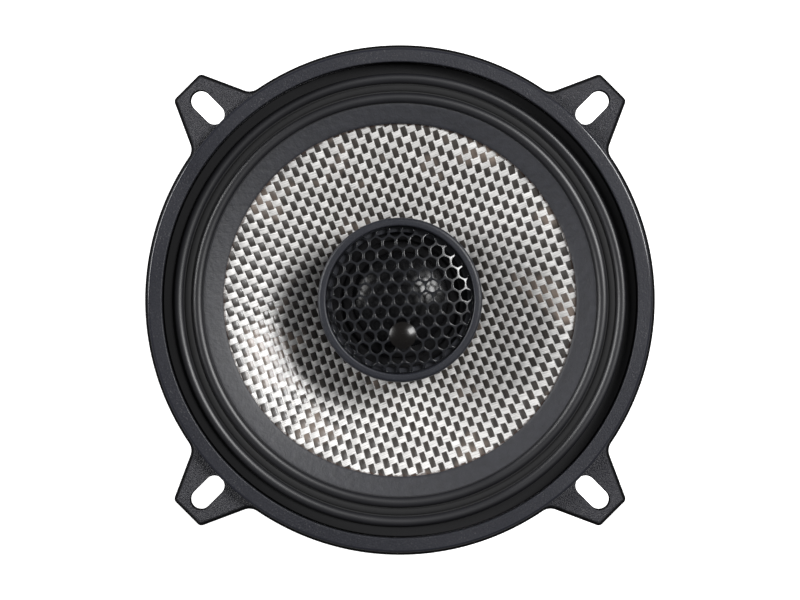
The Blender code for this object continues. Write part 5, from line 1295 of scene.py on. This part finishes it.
def make_pod(sizes):
    """Post, housing, clamp ring and bezel."""
    shoulder, head = top_of("yoke") + GAP, top_of("tweeter_post") - 0.0013
    top = top_of("tweeter_post")
    profile = rounded([(0.0015, foot_of("tweeter_post"), 0.0002), (0.0029, foot_of("tweeter_post"), 0.0003),
                       (0.0029, shoulder), (0.0045, shoulder, 0.0003), (0.0045, head, 0.0006),
                       (0.007, head, 0.0003), (0.007, top, 0.0003), (0.0015, top, 0.0002)])
    put(lathe("tweeter_post_finished", profile, SMALL_TURNED), "frame", "black_plastic", "tweeter_post")

    foot, top = foot_of("tweeter_housing"), top_of("tweeter_housing")
    floor, step, support = 0.0013, 0.0030, radius_of("tweeter_cup") - 0.0024
    profile = rounded([
        (0.002, foot, 0.0002), (POD_RADIUS - 0.0032, foot, 0.002), (POD_RADIUS, foot + 0.0032, 0.003),
        (POD_RADIUS, top, 0.0003), (POD_INNER, top, 0.0002), (POD_INNER, foot + step),
        (support, foot + step), (support, foot + floor), (0.002, foot + floor)])
    put(lathe("tweeter_housing_finished", profile, sizes.facets), "frame", "black_plastic", "tweeter_housing")

    low, high = foot_of("tweeter_clamp_ring"), top_of("tweeter_clamp_ring")
    inner = radius_of("tweeter_clamp_ring") - 0.0030
    profile = ring(inner, POD_INNER - GAP, low, high, (0.0002, 0.0002, 0.0002, 0.0004))
    put(lathe("tweeter_clamp_ring_finished", profile, TURNED), "frame", "black_plastic", "tweeter_clamp_ring",
        looks="felt")

    foot, top = foot_of("tweeter_bezel"), top_of("tweeter_bezel")
    inner = GRILLE_RADIUS + GAP
    shelf = foot_of("tweeter_grille") - GAP
    profile = rounded([
        (BEZEL_RADIUS, foot, 0.0003), (BEZEL_RADIUS, top, 0.0012), (inner, top, 0.0005),
        (inner, shelf, 0.0001), (inner - 0.0016, shelf, 0.0002), (inner - 0.0016, shelf - 0.0008, 0.0002),
        (POD_INNER, shelf - 0.0008), (POD_INNER, foot, 0.0002)], steps=8)
    put(lathe("tweeter_bezel_finished", profile, sizes.facets), "frame", "black_plastic", "tweeter_bezel")


def make_diaphragm():
    """Domed cloth diaphragm and the half-roll suspension round it."""
    foot, top = foot_of("tweeter_dome"), top_of("tweeter_dome")
    rise = top - foot
    ball = (DOME_RADIUS ** 2 + rise ** 2) / (2 * rise)
    lean = math.asin(DOME_RADIUS / ball)
    steps = 32
    leans = [lean * (1 - i / steps) for i in range(steps + 1)]
    over = [(ball * math.sin(a), top - ball * (1 - math.cos(a))) for a in leans]
    inner = ball - 0.0003
    under = [(inner * math.sin(a), top - ball + inner * math.cos(a)) for a in reversed(leans)]
    dome = lathe("tweeter_dome_finished", over + under, TURNED)
    put(dome, "tweeter_diaphragm", "dome_cloth", "tweeter_dome")

    foot = foot_of("tweeter_suspension")
    inner = DOME_RADIUS + 0.00002
    rim = radius_of("tweeter_suspension")
    height, thickness = 0.0010, 0.0003
    end = inner + 2.6 * height
    steps = 24
    radii = [inner + (end - inner) * i / steps for i in range(steps + 1)] + [rim]
    low = [(r, foot + hump(r, (inner + end) / 2, (end - inner) / 2, height)) for r in radii]
    piece = lathe("tweeter_suspension_finished", shell(low, thickness), TURNED)
    put_between(piece, "frame", "tweeter_diaphragm", end, inner + 0.0001, "dome_cloth", "tweeter_suspension",
                looks="felt")


def grille_tree(name):
    """Hexagonal mesh: a triangle lattice turned into hexagons, opened, domed, thickened and rounded."""
    floats = ("Pitch", "Web", "Turn", "Radius", "Rise", "Foot", "Thickness", "Least Hole")
    n, given, out = new_tree(name, floats)
    count = 17
    row = n.math("MULTIPLY", given["Pitch"], math.sqrt(3) / 2)
    wide = n.math("MULTIPLY", given["Pitch"], count - 1.0)
    deep = n.math("MULTIPLY", row, count - 1.0)
    grid = n.add("GeometryNodeMeshGrid", (wide, deep, count, count)).outputs[0]
    place = n.add("ShaderNodeSeparateXYZ", (n.add("GeometryNodeInputPosition").outputs[0],)).outputs
    line = n.math("ROUND", n.math("DIVIDE", place[1], row))
    odd = n.math("FLOORED_MODULO", line, 2.0)
    shift = n.math("MULTIPLY", n.math("MULTIPLY", odd, 0.5), given["Pitch"])
    offset = n.add("ShaderNodeCombineXYZ", (shift, 0.0, 0.0)).outputs[0]
    lattice = n.add("GeometryNodeSetPosition", {"Geometry": grid, "Offset": offset}).outputs[0]
    triangles = n.add("GeometryNodeTriangulate", (lattice,), quad_method="SHORTEST_DIAGONAL").outputs[0]
    cells = n.add("GeometryNodeDualMesh", (triangles,)).outputs[0]
    spin = n.add("ShaderNodeCombineXYZ", (0.0, 0.0, given["Turn"])).outputs[0]
    cells = n.add("GeometryNodeTransform", {"Geometry": cells, "Rotation": spin}).outputs[0]

    centre = n.add("GeometryNodeInputPosition").outputs[0]
    reach = n.add("ShaderNodeVectorMath", (centre,), operation="LENGTH").outputs["Value"]
    limit = n.math("ADD", given["Radius"], n.math("MULTIPLY", given["Pitch"], 0.35))
    beyond = n.add("FunctionNodeCompare", {"A": reach, "B": limit}, data_type="FLOAT",
                   operation="GREATER_THAN").outputs[0]
    disc = n.add("GeometryNodeDeleteGeometry", {"Geometry": cells, "Selection": beyond},
                 domain="FACE").outputs[0]
    spot = n.add("GeometryNodeInputPosition").outputs[0]
    far = n.add("ShaderNodeVectorMath", (spot,), operation="LENGTH").outputs["Value"]
    pull = n.math("MINIMUM", 1.0, n.math("DIVIDE", given["Radius"], n.math("MAXIMUM", far, 0.0001)))
    disc = n.add("GeometryNodeSetPosition", {"Geometry": disc, "Position": scaled(n, spot, pull)}).outputs[0]

    area = n.add("GeometryNodeInputMeshFaceArea").outputs[0]
    whole = n.math("MULTIPLY", n.math("MULTIPLY", given["Pitch"], given["Pitch"]), math.sqrt(3) / 2)
    share = n.math("DIVIDE", area, whole)
    open_face = n.add("FunctionNodeCompare", {"A": share, "B": given["Least Hole"]}, data_type="FLOAT",
                      operation="GREATER_THAN").outputs[0]
    marked = n.add("GeometryNodeStoreNamedAttribute", {"Geometry": disc, "Name": "hole", "Value": open_face},
                   data_type="BOOLEAN", domain="FACE").outputs[0]
    lifted = n.add("GeometryNodeExtrudeMesh", {"Mesh": marked, "Offset Scale": 0.0, "Individual": True},
                   mode="FACES").outputs
    narrow = n.math("DIVIDE", n.math("SUBTRACT", given["Pitch"], given["Web"]), given["Pitch"])
    inner = n.add("GeometryNodeScaleElements", {"Geometry": lifted["Mesh"], "Selection": lifted["Top"],
                                                "Scale": narrow}, domain="FACE").outputs[0]
    is_hole = n.add("GeometryNodeInputNamedAttribute", {"Name": "hole"}, data_type="BOOLEAN").outputs[0]
    through = n.add("FunctionNodeBooleanMath", (is_hole, lifted["Top"]), operation="AND").outputs[0]
    webs = n.add("GeometryNodeDeleteGeometry", {"Geometry": inner, "Selection": through},
                 domain="FACE").outputs[0]

    at = n.add("GeometryNodeInputPosition").outputs[0]
    out_from = n.math("DIVIDE", n.add("ShaderNodeVectorMath", (at,), operation="LENGTH").outputs["Value"],
                      given["Radius"])
    dome = n.math("SUBTRACT", 1.0, n.math("POWER", out_from, 4.0))
    height = n.math("ADD", given["Foot"], n.math("MULTIPLY", given["Rise"], dome))
    up = n.add("ShaderNodeCombineXYZ", (0.0, 0.0, height)).outputs[0]
    domed = n.add("GeometryNodeSetPosition", {"Geometry": webs, "Offset": up}).outputs[0]

    lift = n.add("ShaderNodeCombineXYZ", (0.0, 0.0, 1.0)).outputs[0]
    values = {"Mesh": domed, "Offset": lift, "Offset Scale": given["Thickness"], "Individual": False}
    upper = n.add("GeometryNodeExtrudeMesh", values, mode="FACES").outputs[0]
    lower = n.add("GeometryNodeFlipFaces", (domed,)).outputs[0]
    both = n.add("GeometryNodeJoinGeometry").inputs[0]
    n.tree.links.new(upper, both)
    n.tree.links.new(lower, both)
    joined = both.node.outputs[0]
    closed = n.add("GeometryNodeMergeByDistance", {"Geometry": joined, "Distance": 0.00002}).outputs[0]
    finer = n.add("GeometryNodeSubdivideMesh", {"Mesh": closed, "Level": 1}).outputs[0]
    smooth = n.add("GeometryNodeSubdivisionSurface", {"Mesh": finer, "Level": 1}).outputs[0]
    shaded_smooth = n.add("GeometryNodeSetShadeSmooth", {"Geometry": smooth, "Shade Smooth": True}).outputs[0]
    return end_tree(n, given, out, shaded_smooth)


def make_grille(sizes):
    """Domed hexagonal mesh and the blank badge that stands on it."""
    mesh = bpy.data.meshes.new("tweeter_grille_finished")
    grille = bpy.data.objects.new("tweeter_grille_finished", mesh)
    bpy.context.scene.collection.objects.link(grille)
    run_tree(grille, grille_tree("Hexagonal mesh"), Pitch=sizes.hex_pitch, Web=sizes.hex_web,
             Turn=sizes.hex_turn, Radius=GRILLE_RADIUS, Rise=sizes.grille_rise,
             Foot=foot_of("tweeter_grille"), Thickness=0.00070, Least_Hole=0.22,
             Material=finish("mesh_steel"))
    put(grille, "frame", "mesh_steel", "tweeter_grille")

    low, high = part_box("badge")
    radius = (high.x - low.x) / 2
    centre = ((low.x + high.x) / 2, (low.y + high.y) / 2)
    wall, turn = 0.00028, 0.97
    crown = [(radius * turn * (1 - i / 16), high.z - (high.z - low.z - wall) * (1 - i / 16) ** 2)
             for i in range(17)]
    rim = [(0, low.z), (radius * turn, low.z), (radius, low.z + 0.0001), (radius, low.z + 0.8 * wall)]
    put(lathe("badge_finished", rim + crown, SMALL_TURNED, centre), "frame", "badge_gloss", "badge")


# ---------------------------------------------------------------- terminals and wiring

def make_board():
    """Terminal board with its holes."""
    low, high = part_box("terminal_board")
    board = slab("terminal_board_finished", rectangle(low.x, high.x, low.z, high.z, 0.0012), -high.y, -low.y,
                 0.00015, lambda x, z, h: (x, -h, z))
    drills = []
    for name in ("board_screw_left", "board_screw_right",
                 "positive_terminal_rivet", "negative_terminal_rivet"):
        drill = lathe("drill", plug(BOARD_BORE, -low.y - 0.005, -low.y + 0.005), HOLE_TURNED)
        drills.append(along_y(drill, middle(name).x, middle(name).z))
    boolean(board, drills, "DIFFERENCE")
    put(evened(board), "frame", "board", "terminal_board")


def make_terminal(name):
    """Spade terminal bent from strip, with a lock hole and a tapered tip."""
    low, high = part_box(name)
    strip, bend = 0.0008, 0.0006
    back, tip = high.y, low.y
    front = back - strip
    side = rounded([(back, low.z, 0.0001), (back, high.z, bend + strip), (tip, high.z, 0.0003),
                    (tip, high.z - strip, 0.0003), (front, high.z - strip, bend), (front, low.z, 0.0001)],
                   steps=6)
    side = side[::-1]
    terminal = slab(f"{name}_finished", side, low.x, high.x, 0.00012, lambda y, z, h: (h, y, z))
    centre = (low.x + high.x) / 2
    rivet = middle(f"{name}_rivet")
    hole = lathe("hole", plug(BOARD_BORE, -front - 0.003, -front + 0.003), HOLE_TURNED)
    lock = lathe("lock", plug(0.0008, high.z - 0.003, high.z + 0.003), HOLE_TURNED, (centre, tip + 0.0032))
    tools = [along_y(hole, rivet.x, rivet.z), lock]
    for side_sign in (-1, 1):
        edge = centre + side_sign * (high.x - low.x) / 2
        beyond = edge + side_sign * 0.001
        corner = [(edge, tip - 0.001), (beyond, tip - 0.001), (beyond, tip + 0.0022),
                  (edge, tip + 0.0022), (edge - side_sign * 0.0012, tip - 0.001)]
        if side_sign < 0:
            corner = corner[::-1]
        tools.append(slab(f"corner_{side_sign}", corner, high.z - 0.002, high.z + 0.001, 0.00001, steps=1))
    boolean(terminal, tools, "DIFFERENCE")
    put(evened(terminal), "frame", "tin_plate", name)


def make_terminals():
    for name in ("positive_terminal", "negative_terminal"):
        make_terminal(name)


def make_capacitor():
    """Sleeved capacitor: a can with a rolled groove, its sleeve shrunk over both ends."""
    low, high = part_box("crossover_capacitor")
    radius = (high.z - low.z) / 2
    half = (high.x - low.x) / 2
    groove = half - 0.0014
    profile = rounded([
        (0, -half + 0.0002), (radius * 0.72, -half + 0.0002, 0.0001), (radius * 0.74, -half, 0.0001),
        (radius, -half, 0.0007), (radius, groove - 0.0007, 0.0003), (radius - 0.0007, groove, 0.0004),
        (radius, groove + 0.0007, 0.0003), (radius, half, 0.0006), (radius * 0.74, half, 0.0001),
        (radius * 0.72, half - 0.0002, 0.0001), (0, half - 0.0002)])
    can = lathe("crossover_capacitor_finished", profile, SMALL_TURNED)
    centre = (low + high) / 2
    can.data.transform(Matrix.Translation(centre) @ Matrix.Rotation(math.pi / 2, 4, "Y"))
    put(can, "frame", "blue_sleeve", "crossover_capacitor")


def rounded_wire(node):
    """A wire's CAD tube with its facets rounded."""
    piece = copy_of(node)
    change = piece.modifiers.new("Round", "SUBSURF")
    change.levels = 1
    change.render_levels = 1
    return settled(piece)


def make_wiring():
    """Leads and wires along their CAD routes."""
    for node, slot in (("capacitor_lead_in", "tin_plate"), ("capacitor_lead_out", "tin_plate"),
                       ("positive_tweeter_wire", "red_insulation"),
                       ("negative_tweeter_wire", "dark_insulation")):
        put(rounded_wire(node), "frame", slot, node)
    for node in ("positive_tinsel_lead", "negative_tinsel_lead"):
        put_between(rounded_wire(node), "frame", "cone_assembly", 0.030, 0.0145, "copper", node)


def finish_inner_parts():
    """Gives every CAD node that is still shown the finish of its slot."""
    slots = {part["node"]: part["material_slot"] for part in frame["record"]["subparts"]}
    for name, node in frame["nodes"].items():
        if node.hide_render:
            continue
        node.data.materials.clear()
        node.data.materials.append(finish(slots[name]))


# ---------------------------------------------------------------- stage

def area_light(name, towards, distance, size, power, target):
    """A soft box that looks at the target from a direction."""
    lamp = bpy.data.lights.new(name, "AREA")
    lamp.shape = "RECTANGLE"
    lamp.size, lamp.size_y = size
    lamp.energy = power
    obj = bpy.data.objects.new(name, lamp)
    obj.location = target + towards.normalized() * distance
    obj.rotation_euler = (-towards).to_track_quat("-Z", "Y").to_euler()
    bpy.context.scene.collection.objects.link(obj)
    return obj


def direction(azimuth, off_vertical):
    """Unit vector at an azimuth from +X and an angle from straight up, both in degrees."""
    a, e = math.radians(azimuth), math.radians(off_vertical)
    return Vector((math.sin(e) * math.cos(a), math.sin(e) * math.sin(a), math.cos(e)))


def make_stage():
    scene = bpy.context.scene
    bm = bmesh.new()
    bmesh.ops.create_grid(bm, x_segments=1, y_segments=1, size=2.0)
    for vertex in bm.verts:
        vertex.co.z = -0.0002
    floor = object_from(bm, "floor", recalculate=False)
    material, n, ends, place = new_finish("studio_floor", Roughness=0.9, Specular_IOR_Level=0.1,
                                          Emission_Strength=1.0)
    paper = n.between(n.noise(place, 14.0, 3.0, 0.6), 0.3, 0.7)
    seen = n.add("ShaderNodeLightPath").outputs["Is Camera Ray"]
    pale = n.mix(paper, (0.84, 0.84, 0.84), (0.88, 0.88, 0.88))
    n.feed(ends["Base Color"], n.mix(seen, (0.22, 0.22, 0.22), pale))
    glow = n.mix(paper, (0.97, 0.97, 0.97), (1.0, 1.0, 1.0))
    n.feed(ends["Emission Color"], n.mix(seen, (0.02, 0.02, 0.02), glow))
    floor.data.materials.append(material)

    world = bpy.data.worlds.new("studio")
    world.use_nodes = True
    world.node_tree.nodes["Background"].inputs["Color"].default_value = (0.95, 0.97, 1.0, 1.0)
    world.node_tree.nodes["Background"].inputs["Strength"].default_value = 0.13
    scene.world = world
    scene.view_settings.view_transform = "Standard"

    target = Vector((0, 0, FLANGE_TOP))
    key = direction(26, 44)
    across = Vector((0, 0, 1)).cross(key).normalized()
    up = key.cross(across).normalized()
    for name, shift in (("key_upper", 0.105), ("key_lower", -0.105)):
        lamp = area_light(name, key, 1.0, (0.40, 0.19), 5.2, target)
        lamp.location += up * shift
    area_light("fill", direction(164, 66), 1.0, (0.50, 0.40), 8.5, target)

    lens = bpy.data.cameras.new("camera")
    lens.sensor_width = 36.0
    field, distance = 0.2080, 0.90
    lens.lens = lens.sensor_width * distance / field
    lens.clip_start = 0.05
    camera = bpy.data.objects.new("camera", lens)
    camera.location = (0, 0, FLANGE_TOP + distance)
    scene.collection.objects.link(camera)
    scene.camera = camera


# ---------------------------------------------------------------- operators

class SPEAKER_OT_basket(bpy.types.Operator):
    """Makes the cast basket with its flange, ears, legs and windows"""

    bl_idname = "speaker.basket"
    bl_label = "Basket"

    def execute(self, context):
        make_basket(context.scene.speaker_sizes)
        return {"FINISHED"}


class SPEAKER_OT_trim(bpy.types.Operator):
    """Makes the trim ring and the foam seal"""

    bl_idname = "speaker.trim"
    bl_label = "Trim and seal"

    def execute(self, context):
        make_trim(context.scene.speaker_sizes)
        return {"FINISHED"}


class SPEAKER_OT_cone(bpy.types.Operator):
    """Makes the woven cone and its dust ring"""

    bl_idname = "speaker.cone"
    bl_label = "Cone"

    def execute(self, context):
        make_cone(context.scene.speaker_sizes)
        return {"FINISHED"}


class SPEAKER_OT_surround(bpy.types.Operator):
    """Makes the rubber surround"""

    bl_idname = "speaker.surround"
    bl_label = "Surround"

    def execute(self, context):
        make_surround(context.scene.speaker_sizes)
        return {"FINISHED"}


class SPEAKER_OT_spider(bpy.types.Operator):
    """Makes the corrugated spider"""

    bl_idname = "speaker.spider"
    bl_label = "Spider"

    def execute(self, context):
        make_spider(context.scene.speaker_sizes)
        return {"FINISHED"}


class SPEAKER_OT_motor(bpy.types.Operator):
    """Makes the yoke, the magnet and the front plate"""

    bl_idname = "speaker.motor"
    bl_label = "Magnet system"

    def execute(self, context):
        make_motor()
        return {"FINISHED"}


class SPEAKER_OT_fasteners(bpy.types.Operator):
    """Makes the rivets, the screws, the nut and the washer"""

    bl_idname = "speaker.fasteners"
    bl_label = "Fasteners"

    def execute(self, context):
        make_fasteners()
        return {"FINISHED"}


class SPEAKER_OT_pod(bpy.types.Operator):
    """Makes the post, the housing, the clamp ring and the bezel"""

    bl_idname = "speaker.pod"
    bl_label = "Tweeter pod"

    def execute(self, context):
        make_pod(context.scene.speaker_sizes)
        return {"FINISHED"}


class SPEAKER_OT_diaphragm(bpy.types.Operator):
    """Makes the dome and its suspension"""

    bl_idname = "speaker.diaphragm"
    bl_label = "Tweeter diaphragm"

    def execute(self, context):
        make_diaphragm()
        return {"FINISHED"}


class SPEAKER_OT_grille(bpy.types.Operator):
    """Makes the hexagonal mesh and the blank badge"""

    bl_idname = "speaker.grille"
    bl_label = "Grille and badge"

    def execute(self, context):
        make_grille(context.scene.speaker_sizes)
        return {"FINISHED"}


class SPEAKER_OT_board(bpy.types.Operator):
    """Makes the terminal board"""

    bl_idname = "speaker.board"
    bl_label = "Terminal board"

    def execute(self, context):
        make_board()
        return {"FINISHED"}


class SPEAKER_OT_terminals(bpy.types.Operator):
    """Makes the two spade terminals"""

    bl_idname = "speaker.terminals"
    bl_label = "Terminals"

    def execute(self, context):
        make_terminals()
        return {"FINISHED"}


class SPEAKER_OT_capacitor(bpy.types.Operator):
    """Makes the tweeter's capacitor"""

    bl_idname = "speaker.capacitor"
    bl_label = "Capacitor"

    def execute(self, context):
        make_capacitor()
        return {"FINISHED"}


class SPEAKER_OT_wiring(bpy.types.Operator):
    """Makes the tinsel leads, the capacitor's leads and the tweeter's wires"""

    bl_idname = "speaker.wiring"
    bl_label = "Leads and wires"

    def execute(self, context):
        make_wiring()
        return {"FINISHED"}


class SPEAKER_OT_inner_parts(bpy.types.Operator):
    """Gives the small parts inside their finishes"""

    bl_idname = "speaker.inner_parts"
    bl_label = "Inner parts"

    def execute(self, context):
        finish_inner_parts()
        return {"FINISHED"}


class SPEAKER_OT_studio(bpy.types.Operator):
    """Makes the floor, the lights and the camera"""

    bl_idname = "speaker.studio"
    bl_label = "Studio"

    def execute(self, context):
        make_stage()
        return {"FINISHED"}


OPERATORS = (
    SPEAKER_OT_basket,
    SPEAKER_OT_trim,
    SPEAKER_OT_cone,
    SPEAKER_OT_surround,
    SPEAKER_OT_spider,
    SPEAKER_OT_motor,
    SPEAKER_OT_fasteners,
    SPEAKER_OT_pod,
    SPEAKER_OT_diaphragm,
    SPEAKER_OT_grille,
    SPEAKER_OT_board,
    SPEAKER_OT_terminals,
    SPEAKER_OT_capacitor,
    SPEAKER_OT_wiring,
    SPEAKER_OT_inner_parts,
    SPEAKER_OT_studio,
)


class SPEAKER_PT_pieces(bpy.types.Panel):
    """Lists the operators in the order in which they run."""

    bl_idname = "SPEAKER_PT_pieces"
    bl_label = "Speaker"
    bl_space_type = "VIEW_3D"
    bl_region_type = "UI"
    bl_category = "Speaker"

    def draw(self, context):
        for kind in OPERATORS:
            self.layout.operator(kind.bl_idname)
        for group in (context.scene.speaker_sizes, context.scene.speaker_colours):
            column = self.layout.column()
            for key in group.__annotations__:
                column.prop(group, key)


CLASSES = (SpeakerSizes, SpeakerColours, *OPERATORS, SPEAKER_PT_pieces)


def register():
    for kind in CLASSES:
        bpy.utils.register_class(kind)
    bpy.types.Scene.speaker_sizes = bpy.props.PointerProperty(type=SpeakerSizes)
    bpy.types.Scene.speaker_colours = bpy.props.PointerProperty(type=SpeakerColours)


def unregister():
    del bpy.types.Scene.speaker_colours
    del bpy.types.Scene.speaker_sizes
    for kind in reversed(CLASSES):
        bpy.utils.unregister_class(kind)


def main():
    register()
    for kind in OPERATORS:
        family, name = kind.bl_idname.split(".")
        getattr(getattr(bpy.ops, family), name)()


if __name__ == "__main__":
    main()
